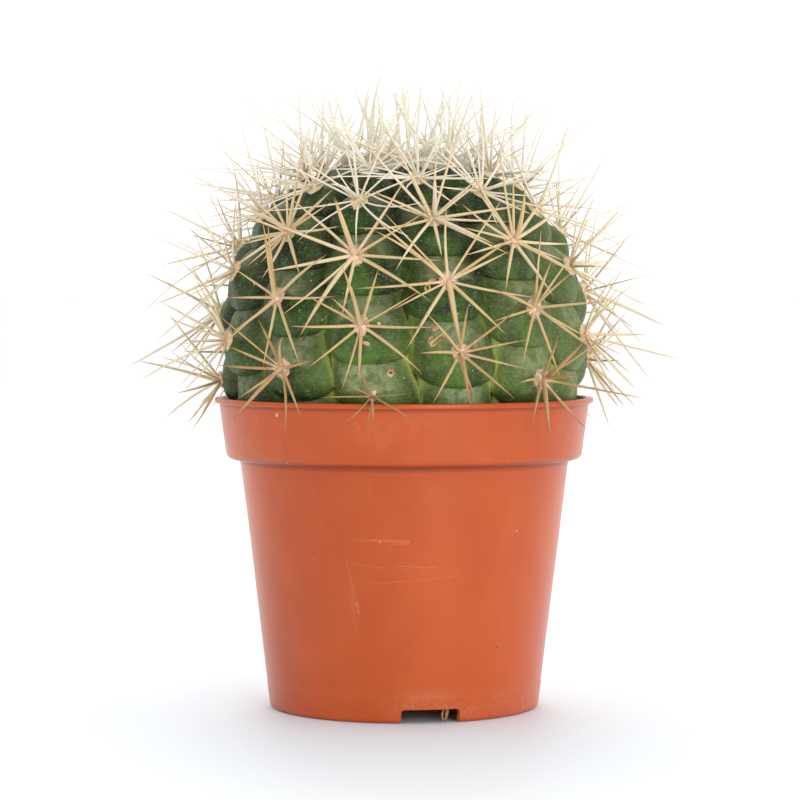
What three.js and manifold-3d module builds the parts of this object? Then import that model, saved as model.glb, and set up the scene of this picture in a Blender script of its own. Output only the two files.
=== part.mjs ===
// A round cactus with knobbly ribs, growing in a terracotta-coloured plastic nursery pot.
// Millimetres, +Z up. The pot's axis is Z and its foot stands on z = 0. The front is -Y.
import * as THREE from "three";
import { mergeVertices } from "three/addons/utils/BufferGeometryUtils.js";
import Module from "manifold-3d";

const wasm = await Module();
wasm.setup();

const DEG = Math.PI / 180;
const TAU = 2 * Math.PI;

// Nursery pot: a tapered moulded cup with a stepped collar, a thin lip and a raised floor.
const POT = {
  height: 98.2,
  wall: 1.2,
  sides: 48,
  footRadius: 42.7, // wall's outer radius, carried down to z = 0
  taper: 0.122, // growth of the wall's radius per millimetre of height
  footRound: 1.9,
  ledgeZ: 78.8, // underside of the collar
  collarRadius: 56.6, // at the collar's lower edge
  collarRound: 2.3,
  collarTaper: 0.135,
  lipRadius: 60,
  lipThickness: 1.6,
  lipRound: 0.5,
  floorUnder: 5,
  floorThickness: 1.4,
};

// Drainage: notches through the foot, each with a slot in the floor behind it, and a middle hole.
const DRAIN = {
  count: 3,
  azimuth: 11, // of the front notch, in degrees from the front towards +X
  notchWidth: 18.2,
  notchHeight: 4.2,
  notchRound: 1.1,
  slotInner: 33.4,
  slotOuter: 40.6,
  slotRound: 2,
  middleRadius: 5,
};

// Stem: a flattened globe. Its outline through the tubercles' tips is two half superellipses.
const STEM = {
  widest: 59,
  widestZ: 113,
  rise: 61, // from the widest height up to the shoulder of the crown
  drop: 41, // from the widest height down to the buried base
  roundness: 2.3, // exponent of the upper half, where 2 is an ellipse
  baseRoundness: 2.2,
  apexDip: 3,
  apexDipRadius: 13,
};

// Spiral growth. Areoles are numbered downwards from the growing point.
const SPIRAL = {
  ribs: 13,
  turn: -138.231, // degrees from one areole to the next
  markedAreole: 71, // the areole low on the front rib, whose azimuth is measured
  markedAzimuth: 16.3,
  youngStep: 0.888, // arc length of the first step from the growing point
  growth: 0.00692, // half of what each young step is longer than the last
  mature: 55, // from this areole down the steps are equal
};

// Tubercles: chin-shaped bumps, one below each areole, that overlap down the ribs.
const TUBERCLE = {
  depth: 6.2, // from the tip of a grown tubercle to the groove beside it
  roundness: 2.6, // exponent of the section across a rib, where 2 is a parabola
  swell: 0.1, // how much wider than its rib a tubercle is at its chin, and narrower at its roof
  roofFall: 0.62, // share of the depth that the roof has lost halfway to the areole above
  roofRound: 1.4,
  chinEnd: 0.62, // below the areole, of the distance between areoles on a rib
  chinRound: 2.8,
  reach: 0.75, // of that distance
  buriedFrom: 96, // height below which the relief fades, in the soil
  buriedTo: 86,
  columnsPerRib: 6, // an even number, so that a column runs along each groove
};

// Areole: a felted pad at each tubercle's tip, and its spray of spines.
const AREOLE = {
  first: 25, // younger areoles run together into the crown's felt
  last: 79, // the lowest one above the pot's lip
  radius: 3.2,
  youngRadius: 2.4,
  topRadius: 0.74, // of the pad's radius
  height: 2.5,
  sides: 8, // a side for each radial spine to grow out of
  seatGap: 0.3,
  lipGap: 0.4, // pads right above the pot's lip are smaller, to clear it
};

// Lifts are degrees above the skin. Roots are given from the foot of the pad: height, and way out.
const SPINE = {
  sides: 3,
  radialLength: [21, 27.5],
  centralLength: [27, 31],
  radialRadius: 0.6,
  centralRadius: 0.85,
  youngRadius: 0.52,
  radialLift: 24,
  youngRadialLift: 56,
  youngCentralLift: 78,
  radialRoot: { height: 0.5, out: 0.6 },
  centralRoot: { height: 0.6, out: -0.6 },
  jitter: 5, // degrees
  clearance: 0.35,
};
const RADIALS = 8;
const CENTRALS = [
  { angle: 280, lift: 50 }, // angles run round the areole from +across
  { angle: 98, lift: 58 },
];

// Sprays measured on the real plant, from the front: each spine's angle, lift and length.
const MEASURED = {
  45: {
    centrals: [[306, 27, 28], [215, 78, 28]],
    radials: [
      [199, 14, 27], [179, 32, 24], [187, 65, 24], [39, 14, 20], [356, 19, 29], [317, 14, 28],
      [266, 25, 24], [239, 14, 30],
    ],
  },
  48: {
    centrals: [[271, 32, 28], [307, 67, 28]],
    radials: [
      [354, 14, 32], [24, 19, 25], [15, 45, 25], [134, 14, 20], [199, 14, 21], [291, 20, 25],
      [319, 14, 31],
    ],
  },
  50: {
    centrals: [[298, 29, 30], [157, 60, 28]],
    radials: [
      [193, 14, 32], [160, 17, 25], [78, 14, 21], [42, 14, 20], [25, 27, 25], [350, 14, 20],
      [268, 21, 25], [231, 14, 27],
    ],
  },
  53: {
    centrals: [[249, 14, 34], [96, 72, 26]],
    radials: [
      [355, 14, 30], [326, 14, 33], [24, 19, 26], [166, 24, 30], [200, 18, 28], [231, 14, 30],
      [271, 18, 25],
    ],
  },
  58: {
    centrals: [[267, 30, 29]],
    radials: [
      [183, 14, 32], [143, 14, 33], [150, 14, 28], [95, 28, 23], [36, 24, 24], [22, 30, 20],
      [343, 20, 27], [307, 21, 25], [235, 14, 28],
    ],
  },
  61: {
    centrals: [[61, 49, 28], [64, 42, 28]],
    radials: [
      [358, 14, 32], [25, 14, 28], [152, 14, 19], [183, 14, 17], [273, 53, 23], [285, 20, 25],
      [313, 14, 32],
    ],
  },
  63: {
    centrals: [[353, 69, 25], [284, 50, 28]],
    radials: [
      [168, 17, 25], [191, 14, 25], [98, 22, 25], [131, 52, 24], [137, 64, 25], [266, 23, 25],
      [231, 17, 25],
    ],
  },
  66: {
    centrals: [[74, 66, 27], [94, 51, 27]],
    radials: [
      [358, 17, 26], [183, 30, 22], [225, 31, 22], [279, 39, 23], [324, 16, 26], [63, 41, 22],
      [150, 41, 20], [123, 65, 21],
    ],
  },
  71: {
    centrals: [[256, 53, 27]],
    radials: [
      [141, 41, 23], [179, 42, 23], [100, 48, 22], [43, 32, 22], [13, 31, 21], [315, 30, 22],
      [264, 58, 22], [229, 35, 23],
    ],
  },
  74: {
    centrals: [[271, 62, 27]],
    radials: [
      [39, 40, 24], [74, 41, 23], [157, 14, 19], [176, 14, 22], [211, 14, 18], [300, 32, 24],
      [322, 30, 24], [11, 26, 24],
    ],
  },
  76: {
    centrals: [[108, 47, 28], [223, 43, 28]],
    radials: [[176, 26, 24], [124, 39, 24], [137, 63, 26], [318, 14, 23], [210, 35, 24]],
  },
  79: {
    centrals: [[32, 77, 28]],
    radials: [
      [152, 51, 22], [107, 58, 24], [90, 46, 23], [29, 46, 23], [356, 47, 23], [315, 72, 22],
      [204, 75, 20],
    ],
  },
};

// The spines end inside a round envelope, as wide and as high as the plant.
const REACH = { radius: 85.4, top: 199.4 };

const CROWN = {
  feltArc: 23.4, // arc length from the growing point to the felt's edge
  feltHeight: 2.4,
  sides: 24,
  spinesPerAreole: 5,
  spineLength: [23, 30],
};

const SOIL = { top: 88.6, sides: 48, gap: 0.45, bowlGap: 0.6 };

const ROOT = {
  sides: 5,
  channelGap: 0.4,
  crownRadius: 9,
  tipRadius: 2.2,
  laterals: 5,
};

const FLATNESS = 0.002; // triangles that lie this flat are joined

// Shape helpers.

const point = (x, y, z) => new THREE.Vector3(x, y, z);
const mix = (a, b, t) => a + (b - a) * t;
const clamp01 = (x) => Math.min(1, Math.max(0, x));
const smoothstep = (a, b, x) => {
  const t = clamp01((x - a) / (b - a));
  return t * t * (3 - 2 * t);
};

// Outward direction at an azimuth, counted from the front (-Y) towards +X.
const outward = (azimuth) => point(Math.sin(azimuth), -Math.cos(azimuth), 0);

// Repeatable random numbers between 0 and 1 (mulberry32).
function seededRandom(seed) {
  let state = seed >>> 0;
  return () => {
    state = (state + 0x6d2b79f5) >>> 0;
    let t = state;
    t = Math.imul(t ^ (t >>> 15), t | 1);
    t ^= t + Math.imul(t ^ (t >>> 7), t | 61);
    return ((t ^ (t >>> 14)) >>> 0) / 4294967296;
  };
}

// A closed geometry as a solid that can be cut and joined.
function solidFrom(geometry) {
  const bare = geometry.clone();
  for (const name of Object.keys(bare.attributes)) {
    if (name !== "position") bare.deleteAttribute(name);
  }
  const merged = mergeVertices(bare, 1e-4);
  return new wasm.Manifold(
    new wasm.Mesh({
      numProp: 3,
      vertProperties: new Float32Array(merged.attributes.position.array),
      triVerts: new Uint32Array(merged.index.array),
    }),
  );
}

function geometryFrom(solid) {
  const mesh = solid.asOriginal().simplify(FLATNESS).getMesh();
  const geometry = new THREE.BufferGeometry();
  const positions = new Float32Array(mesh.numVert * 3);
  for (let i = 0; i < mesh.numVert; i++) {
    positions.set(mesh.vertProperties.subarray(i * mesh.numProp, i * mesh.numProp + 3), i * 3);
  }
  geometry.setAttribute("position", new THREE.BufferAttribute(positions, 3));
  geometry.setIndex(new THREE.BufferAttribute(mesh.triVerts, 1));
  geometry.computeVertexNormals();
  return geometry;
}

// A profile of [radius, height] pairs turned round Z. It starts and ends on the axis or closes on itself.
function turned(profile, sides) {
  const outline = profile.map(([radius, height]) => new THREE.Vector2(radius, height));
  return new THREE.LatheGeometry(outline, sides).rotateX(Math.PI / 2);
}

// Points on a quarter round from one direction to the next, in degrees, about a centre in the profile.
function arc(radius, height, size, from, to, steps) {
  return Array.from({ length: steps + 1 }, (_, i) => {
    const angle = mix(from, to, i / steps) * DEG;
    return [radius + size * Math.cos(angle), height + size * Math.sin(angle)];
  });
}

// A rectangle with round corners, centred on the origin.
function roundedRectangle(width, height, round) {
  const x = width / 2;
  const y = height / 2;
  const shape = new THREE.Shape();
  shape.moveTo(-x + round, -y);
  shape.lineTo(x - round, -y);
  shape.absarc(x - round, -y + round, round, -Math.PI / 2, 0);
  shape.lineTo(x, y - round);
  shape.absarc(x - round, y - round, round, 0, Math.PI / 2);
  shape.lineTo(-x + round, y);
  shape.absarc(-x + round, y - round, round, Math.PI / 2, Math.PI);
  shape.lineTo(-x, -y + round);
  shape.absarc(-x + round, -y + round, round, Math.PI, 1.5 * Math.PI);
  return shape;
}

// Pot.

const wallRadius = (z) => POT.footRadius + POT.taper * z;
const collarRadius = (z) => POT.collarRadius + POT.collarTaper * (z - POT.ledgeZ - POT.collarRound);
const collarInner = (z) => collarRadius(z) - POT.wall;

function potProfile() {
  const { wall, footRound, collarRound, lipRound, ledgeZ, height, lipRadius } = POT;
  const lipUnder = height - POT.lipThickness;
  const floorTop = POT.floorUnder + POT.floorThickness;
  const footEdge = wallRadius(footRound) - footRound;
  const collarEdge = POT.collarRadius - collarRound;
  const lipInner = collarInner(height);
  return [
    [footEdge - wall, 0],
    ...arc(footEdge, footRound, footRound, -90, 0, 3),
    [wallRadius(ledgeZ), ledgeZ],
    ...arc(collarEdge, ledgeZ + collarRound, collarRound, -90, 0, 3),
    [collarRadius(lipUnder), lipUnder],
    [lipRadius - lipRound, lipUnder],
    [lipRadius, lipUnder + lipRound],
    [lipRadius, height - lipRound],
    [lipRadius - lipRound, height],
    [lipInner, height],
    [collarInner(ledgeZ + wall), ledgeZ + wall],
    [wallRadius(ledgeZ) - wall, ledgeZ + wall],
    [wallRadius(floorTop) - wall, floorTop],
    [0, floorTop],
    [0, POT.floorUnder],
    [wallRadius(POT.floorUnder) - wall, POT.floorUnder],
    [footEdge - wall, 0],
  ];
}

function makePot() {
  let pot = solidFrom(turned(potProfile(), POT.sides));
  const below = 2; // how far each cutter runs past the surface that it cuts
  const notchShape = roundedRectangle(DRAIN.notchWidth, 2 * DRAIN.notchHeight, DRAIN.notchRound);
  const slotDepth = DRAIN.slotOuter - DRAIN.slotInner;
  const slotWidth = DRAIN.notchWidth - 1.6;
  const slotShape = roundedRectangle(slotWidth, slotDepth, DRAIN.slotRound);
  for (let i = 0; i < DRAIN.count; i++) {
    const turn = DRAIN.azimuth * DEG + (i * TAU) / DRAIN.count;
    const notch = new THREE.ExtrudeGeometry(notchShape, { depth: 10, bevelEnabled: false, curveSegments: 3 });
    notch.rotateX(Math.PI / 2);
    notch.translate(0, -POT.footRadius + 5, 0);
    notch.rotateZ(turn);
    const slot = new THREE.ExtrudeGeometry(slotShape, {
      depth: POT.floorThickness + 2 * below,
      bevelEnabled: false,
      curveSegments: 3,
    });
    slot.translate(0, -(DRAIN.slotInner + DRAIN.slotOuter) / 2, POT.floorUnder - below);
    slot.rotateZ(turn);
    pot = pot.subtract(solidFrom(notch)).subtract(solidFrom(slot));
  }
  const middle = new THREE.CylinderGeometry(DRAIN.middleRadius, DRAIN.middleRadius, 8, 16);
  middle.rotateX(Math.PI / 2).translate(0, 0, POT.floorUnder);
  return geometryFrom(pot.subtract(solidFrom(middle)));
}

// Stem outline, followed from the growing point down, as a table over arc length.

function stemMeridian() {
  const steps = 900;
  const rows = [];
  for (let i = 0; i <= steps; i++) {
    const t = (Math.PI * i) / steps;
    const upper = t <= Math.PI / 2;
    const power = 2 / (upper ? STEM.roundness : STEM.baseRoundness);
    const radius = STEM.widest * Math.pow(Math.max(0, Math.sin(t)), power);
    const rise = Math.pow(Math.abs(Math.cos(t)), power);
    const dip = STEM.apexDip * Math.exp(-((radius / STEM.apexDipRadius) ** 2));
    const z = STEM.widestZ + (upper ? STEM.rise * rise - dip : -STEM.drop * rise);
    const last = rows[i - 1];
    const arcLength = last ? last.arc + Math.hypot(radius - last.radius, z - last.z) : 0;
    rows.push({ arc: arcLength, radius, z });
  }
  return rows;
}

const MERIDIAN = stemMeridian();
const STEM_ARC = MERIDIAN[MERIDIAN.length - 1].arc;

// Radius, height and outward slope of the stem's outline at an arc length.
function outlineAt(arcLength) {
  const wanted = Math.min(STEM_ARC, Math.max(0, arcLength));
  let i = 1;
  while (i < MERIDIAN.length - 1 && MERIDIAN[i].arc < wanted) i++;
  const a = MERIDIAN[i - 1];
  const b = MERIDIAN[i];
  const t = (wanted - a.arc) / (b.arc - a.arc);
  const length = b.arc - a.arc;
  return {
    radius: mix(a.radius, b.radius, t),
    z: mix(a.z, b.z, t),
    normalOut: (a.z - b.z) / length,
    normalUp: (b.radius - a.radius) / length,
  };
}

// Spiral growth: where areole n sits, and how far apart areoles are there.

const matureArc = SPIRAL.youngStep * SPIRAL.mature + SPIRAL.growth * SPIRAL.mature ** 2;
const matureStep = SPIRAL.youngStep + 2 * SPIRAL.growth * SPIRAL.mature;

function areoleArc(n) {
  if (n < SPIRAL.mature) return SPIRAL.youngStep * n + SPIRAL.growth * n * n;
  return matureArc + matureStep * (n - SPIRAL.mature);
}

// The areole number, as a fraction, that lies at an arc length.
function numberAt(arcLength) {
  if (arcLength >= matureArc) return SPIRAL.mature + (arcLength - matureArc) / matureStep;
  const { youngStep: a, growth: b } = SPIRAL;
  return (-a + Math.sqrt(a * a + 4 * b * arcLength)) / (2 * b);
}

const stepAt = (n) => (n < SPIRAL.mature ? SPIRAL.youngStep + 2 * SPIRAL.growth * n : matureStep);
const areoleAzimuth = (n) => (SPIRAL.markedAzimuth + (n - SPIRAL.markedAreole) * SPIRAL.turn) * DEG;

// Seat of areole n on the outline: its place, and axes across the rib, up the rib and out of the skin.
function areoleSeat(n) {
  const outline = outlineAt(areoleArc(n));
  const azimuth = areoleAzimuth(n);
  const out = outward(azimuth);
  const across = point(Math.cos(azimuth), Math.sin(azimuth), 0);
  const normal = out.clone().multiplyScalar(outline.normalOut).setZ(outline.normalUp);
  const up = normal.clone().cross(across);
  const place = out.clone().multiplyScalar(outline.radius).setZ(outline.z);
  return { n, place, across, up, normal, outline, azimuth };
}

// How far a rib has turned where it meets its next areole, 13 areoles further down.
const ribTurn = areoleAzimuth(SPIRAL.ribs) - areoleAzimuth(0);
const RIB_LEAN = (ribTurn - TAU * Math.round(ribTurn / TAU)) / SPIRAL.ribs;

const TUBERCLES = Array.from({ length: 98 }, (_, n) => {
  return { n, arc: areoleArc(n), azimuth: areoleAzimuth(n), pitch: SPIRAL.ribs * stepAt(n) };
});

// How high the skin stands at a point, from 0 in a groove to 1 at a tubercle's tip. A tubercle's height
// is a rounded section across the rib. Above its areole it is lowered by the roof's slope, and below it
// the chin is cut off in a round end. Where tubercles overlap, the higher one shows.
function skinHeight(azimuth, arcLength) {
  const number = numberAt(arcLength);
  let height = 0;
  for (const bump of TUBERCLES) {
    const along = (arcLength - bump.arc) / bump.pitch;
    if (Math.abs(along) >= TUBERCLE.reach) continue;
    let turn = (azimuth - bump.azimuth - RIB_LEAN * (number - bump.n)) % TAU;
    if (turn > Math.PI) turn -= TAU;
    if (turn < -Math.PI) turn += TAU;
    const widened = 1 + TUBERCLE.swell * Math.sin(Math.PI * (along - 0.05));
    const across = (Math.abs(turn) * SPIRAL.ribs) / (Math.PI * widened);
    if (across >= 1) continue;
    const section = 1 - across ** TUBERCLE.roundness;
    const chin = section - (Math.max(0, along) / TUBERCLE.chinEnd) ** TUBERCLE.chinRound;
    const roof = section * (1 - TUBERCLE.roofFall * (2 * Math.max(0, -along)) ** TUBERCLE.roofRound);
    height = Math.max(height, along > 0 ? chin : roof);
  }
  return height;
}

function skinPoint(azimuth, arcLength) {
  const outline = outlineAt(arcLength);
  const growth = clamp01(stepAt(numberAt(arcLength)) / matureStep);
  const buried = smoothstep(TUBERCLE.buriedFrom, TUBERCLE.buriedTo, outline.z);
  const height = mix(skinHeight(azimuth, arcLength), 0.5, buried);
  const sunk = TUBERCLE.depth * growth * (1 - height);
  const radius = Math.max(0, outline.radius - sunk * outline.normalOut);
  const place = outward(azimuth).multiplyScalar(radius);
  return place.setZ(outline.z - sunk * outline.normalUp);
}

// Arc lengths of the stem's rings: wide under the crown's felt and in the soil, close on the tubercles.
function stemRings() {
  const relief = { from: 17, to: 118, step: 3.5 };
  const count = Math.round((relief.to - relief.from) / relief.step);
  const middle = Array.from({ length: count + 1 }, (_, i) => mix(relief.from, relief.to, i / count));
  const rest = STEM_ARC - relief.to;
  const buried = [0.2, 0.45, 0.72].map((share) => relief.to + share * rest);
  return [9, ...middle, ...buried];
}

function makeStem() {
  const columns = SPIRAL.ribs * TUBERCLE.columnsPerRib;
  const rings = stemRings();
  const positions = [];
  const add = (p) => positions.push(p.x, p.y, p.z) / 3 - 1;
  const top = add(skinPoint(0, 0));
  const rows = rings.map((arcLength) => {
    // Each column keeps to the same place on its rib, and the ribs lean a little.
    const along = numberAt(arcLength) - SPIRAL.markedAreole;
    const start = areoleAzimuth(SPIRAL.markedAreole) + RIB_LEAN * along;
    return Array.from({ length: columns }, (_, i) => add(skinPoint(start + (i * TAU) / columns, arcLength)));
  });
  const bottom = add(point(0, 0, STEM.widestZ - STEM.drop));
  const index = [];
  for (let i = 0; i < columns; i++) {
    const j = (i + 1) % columns;
    index.push(top, rows[0][i], rows[0][j]);
    for (let k = 1; k < rows.length; k++) {
      index.push(rows[k - 1][i], rows[k][i], rows[k][j]);
      index.push(rows[k - 1][i], rows[k][j], rows[k - 1][j]);
    }
    index.push(rows[rows.length - 1][i], bottom, rows[rows.length - 1][j]);
  }
  const geometry = new THREE.BufferGeometry();
  geometry.setAttribute("position", new THREE.Float32BufferAttribute(positions, 3));
  geometry.setIndex(index);
  geometry.computeVertexNormals();
  return geometry;
}

// Spines.

// A straight three-sided spine, from a root sunk in the felt to its tip.
function needle(root, tip, radius) {
  const axis = tip.clone().sub(root).normalize();
  const side = point(0, 0, 1).cross(axis);
  if (side.lengthSq() < 1e-6) side.set(1, 0, 0);
  side.normalize();
  const other = axis.clone().cross(side);
  const positions = [tip.x, tip.y, tip.z];
  for (let i = 0; i < SPINE.sides; i++) {
    const angle = (i * TAU) / SPINE.sides;
    const corner = root.clone();
    corner.addScaledVector(side, radius * Math.cos(angle)).addScaledVector(other, radius * Math.sin(angle));
    positions.push(corner.x, corner.y, corner.z);
  }
  const geometry = new THREE.BufferGeometry();
  geometry.setAttribute("position", new THREE.Float32BufferAttribute(positions, 3));
  geometry.setIndex([0, 1, 2, 0, 2, 3, 0, 3, 1, 1, 3, 2]);
  return geometry;
}

// Shortest way between two spines' axes, and how far along each one it is.
function between(a, b) {
  const u = a.tip.clone().sub(a.root);
  const v = b.tip.clone().sub(b.root);
  const w = a.root.clone().sub(b.root);
  const uu = u.dot(u);
  const uv = u.dot(v);
  const vv = v.dot(v);
  const uw = u.dot(w);
  const vw = v.dot(w);
  const cross = uu * vv - uv * uv;
  let s = cross < 1e-9 ? 0 : clamp01((uv * vw - vv * uw) / cross);
  const t = clamp01((uv * s + vw) / vv);
  s = clamp01((uv * t - uw) / uu);
  const gap = w.addScaledVector(u, s).addScaledVector(v, -t).length();
  return { gap, s, t };
}

// Whether a spine that hangs over the pot's lip stays outside it.
function clearOfPot(spine) {
  const steps = 24;
  for (let i = 0; i <= steps; i++) {
    const p = spine.root.clone().lerp(spine.tip, i / steps);
    const room = spine.radius * (1 - i / steps) + 0.5;
    if (p.z < POT.height + room && Math.hypot(p.x, p.y) < POT.lipRadius + room) return false;
  }
  return true;
}

const placed = { spines: [], pads: [] };

function isClear(spine) {
  if (!clearOfPot(spine)) return false;
  for (const { n, root, tip, radius } of placed.pads) {
    if (n !== spine.n && between(spine, { root, tip }).gap < radius + 1.2) return false;
  }
  for (const other of placed.spines) {
    if (other.n === spine.n) continue;
    const { gap, s, t } = between(spine, other);
    const room = spine.radius * (1 - s) + other.radius * (1 - t) + SPINE.clearance;
    if (gap < room) return false;
  }
  return true;
}

// Cuts a spine's length so that its tip stays inside the plant's round envelope.
function withinReach(root, direction, length) {
  const tip = root.clone().addScaledVector(direction, length);
  for (let kept = length; kept > 5 && (Math.hypot(tip.x, tip.y) > REACH.radius || tip.z > REACH.top); ) {
    kept -= 0.2;
    tip.copy(root).addScaledVector(direction, kept);
  }
  return tip;
}

// Turns and lifts, in degrees, to try for a spine that would cross something, smallest first.
const NUDGES = [];
for (let turn = -35; turn <= 35; turn += 5) {
  for (let rise = -12; rise <= 48; rise += 4) NUDGES.push({ turn, rise, cost: Math.hypot(turn, rise) });
}
NUDGES.sort((a, b) => a.cost - b.cost || a.turn - b.turn || a.rise - b.rise);

// A pad's or a spine's size on the areole right above the pot's lip, where there is less room.
function roomAboveLip(seat, radius) {
  const foot = POT.height + AREOLE.lipGap;
  const down = seat.up.z * AREOLE.topRadius * radius - seat.normal.z * AREOLE.height;
  return Math.min(1, (seat.place.z + seat.normal.z * AREOLE.seatGap - foot) / Math.max(down, 1e-6));
}

// How grown areole n is, from 0 at the crown's edge to 1 on the sides.
const grown = (n) => smoothstep(AREOLE.first - 8, AREOLE.first + 12, n);

function areole(n) {
  const seat = areoleSeat(n);
  const radius = mix(AREOLE.youngRadius, AREOLE.radius, grown(n));
  const scale = roomAboveLip(seat, radius);
  return { ...seat, scale, padRadius: scale * radius, padHeight: scale * AREOLE.height };
}

// Places one spine on a seat. Its angle runs round the seat from +across, its lift is above the skin.
function placeSpine(seat, { angle, lift, length, radius, foot }) {
  for (const { turn, rise } of NUDGES) {
    const a = (angle + turn) * DEG;
    const b = Math.min(86, Math.max(14, lift + rise)) * DEG;
    const flat = seat.across.clone().multiplyScalar(Math.cos(a)).addScaledVector(seat.up, Math.sin(a));
    const direction = flat.clone().multiplyScalar(Math.cos(b)).addScaledVector(seat.normal, Math.sin(b));
    const root = seat.place.clone().addScaledVector(seat.normal, AREOLE.seatGap + foot.height * seat.scale);
    root.addScaledVector(flat, foot.out * seat.scale);
    const spine = { n: seat.n, root, tip: withinReach(root, direction, length), radius: radius * seat.scale };
    if (isClear(spine)) {
      placed.spines.push(spine);
      return spine;
    }
  }
  return null;
}

// The spray that areole n would have in open space: a thick pair and a star of thinner spines.
function wantedSpray(n) {
  const random = seededRandom(1000 + n);
  const jitter = (degrees) => degrees * (2 * random() - 1);
  const age = grown(n);
  const centralRadius = mix(SPINE.youngRadius, SPINE.centralRadius, age);
  const radialRadius = mix(SPINE.youngRadius, SPINE.radialRadius, age);
  const central = ([angle, lift, length]) => {
    return { angle, lift, length, radius: centralRadius, foot: SPINE.centralRoot };
  };
  const radial = ([angle, lift, length]) => {
    return { angle, lift, length, radius: radialRadius, foot: SPINE.radialRoot };
  };
  if (MEASURED[n]) return [...MEASURED[n].centrals.map(central), ...MEASURED[n].radials.map(radial)];
  const spray = CENTRALS.map(({ angle, lift }) => {
    const turned = angle + jitter(2 * SPINE.jitter);
    const raised = mix(SPINE.youngCentralLift, lift, age) + jitter(SPINE.jitter);
    return central([turned, raised, mix(...SPINE.centralLength, random())]);
  });
  for (let k = 0; k < RADIALS; k++) {
    const turned = (360 * k) / RADIALS + jitter(SPINE.jitter);
    const raised = mix(SPINE.youngRadialLift, SPINE.radialLift, age) + jitter(1.6 * SPINE.jitter);
    spray.push(radial([turned, raised, mix(...SPINE.radialLength, random())]));
  }
  return spray;
}

const areoleSpines = (seat) => wantedSpray(seat.n).map((spine) => placeSpine(seat, spine)).filter(Boolean);

// A felted pad in its own frame: +Z out of the skin, flat underneath and on top.
function pad({ padRadius, padHeight }) {
  const profile = [[0, 0], [padRadius, 0], [AREOLE.topRadius * padRadius, padHeight], [0, padHeight]];
  return turned(profile, AREOLE.sides).rotateZ(Math.PI / AREOLE.sides);
}

// The frame of a seat as a matrix, raised off the skin by the gap under the felt.
function seatMatrix(seat) {
  const raised = seat.place.clone().addScaledVector(seat.normal, AREOLE.seatGap);
  return new THREE.Matrix4().makeBasis(seat.across, seat.up, seat.normal).setPosition(raised);
}

// One areole's mesh: its pad with the spines' roots sunk in it, placed on its seat.
function makeAreole(seat, spines, material) {
  const matrix = seatMatrix(seat);
  const toSeat = matrix.clone().invert();
  let felt = solidFrom(pad(seat));
  for (const { root, tip, radius } of spines) {
    const local = needle(root.clone().applyMatrix4(toSeat), tip.clone().applyMatrix4(toSeat), radius);
    felt = felt.add(solidFrom(local));
  }
  const mesh = new THREE.Mesh(geometryFrom(felt), material);
  mesh.name = `areole_${seat.n}`;
  matrix.decompose(mesh.position, mesh.quaternion, mesh.scale);
  return mesh;
}

// Crown: one cushion of felt over the growing point, with the youngest areoles' spines.
function crownFelt() {
  const { feltArc, feltHeight } = CROWN;
  const lift = (arcLength, height) => {
    const o = outlineAt(arcLength);
    return [Math.max(0, o.radius + height * o.normalOut), o.z + height * o.normalUp];
  };
  const arcs = [0, 0.35, 0.7, 1].map((share) => share * feltArc);
  const under = arcs.map((a) => lift(a, AREOLE.seatGap));
  const over = arcs.map((a, i) => lift(a, mix(feltHeight, 0.9, (i / 3) ** 3)));
  under[0][0] = 0;
  over[0][0] = 0;
  return solidFrom(turned([...under, ...over.reverse()], CROWN.sides));
}

function makeCrown(material) {
  let crown = crownFelt();
  for (let n = 0; n < AREOLE.first; n++) {
    const seat = areole(n);
    const random = seededRandom(500 + n);
    if (areoleArc(n) > CROWN.feltArc - AREOLE.youngRadius) {
      crown = crown.add(solidFrom(pad(seat).applyMatrix4(seatMatrix(seat))));
    }
    for (let k = 0; k < CROWN.spinesPerAreole; k++) {
      const spine = placeSpine(seat, {
        angle: 137.5 * (k + n) + 30 * random(),
        lift: mix(80, 52, (k + 0.5) / CROWN.spinesPerAreole) + SPINE.jitter * random(),
        length: mix(...CROWN.spineLength, random()),
        radius: SPINE.youngRadius,
        foot: SPINE.radialRoot,
      });
      if (spine) crown = crown.add(solidFrom(needle(spine.root, spine.tip, spine.radius)));
    }
  }
  const mesh = new THREE.Mesh(geometryFrom(crown), material);
  mesh.name = "crown";
  return mesh;
}

// Roots: a taproot under the stem, side roots, and one that has found its way out of a drain slot.
function rootRuns() {
  const collarZ = STEM.widestZ - STEM.drop - AREOLE.seatGap;
  const { crownRadius, tipRadius } = ROOT;
  const runs = [
    {
      points: [point(0, 0, collarZ), point(0.5, 0, collarZ - 8), point(-1, 1, 46), point(1, 0, 24)],
      radii: [crownRadius, 0.62 * crownRadius, 3.8, tipRadius],
    },
  ];
  for (let i = 0; i < ROOT.laterals; i++) {
    const away = outward((200 + (i * 360) / ROOT.laterals) * DEG);
    const start = 58 - 5 * i;
    runs.push({
      points: [
        point(0, 0, start),
        away.clone().multiplyScalar(14).setZ(start - 5),
        away.clone().multiplyScalar(27).setZ(start - 16),
        away.clone().multiplyScalar(33).setZ(start - 24),
      ],
      radii: [1.9, 1.6, 1.2, 0.8],
    });
  }
  runs.push({
    points: [
      point(0, 0, 33),
      point(8, -20, 24),
      point(13, -35.6, 12),
      point(13.1, -37, 4),
      point(12.7, -36.8, 0.5),
    ],
    radii: [1.6, 1.3, 0.95, 0.75, 0.5],
  });
  return runs;
}

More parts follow.
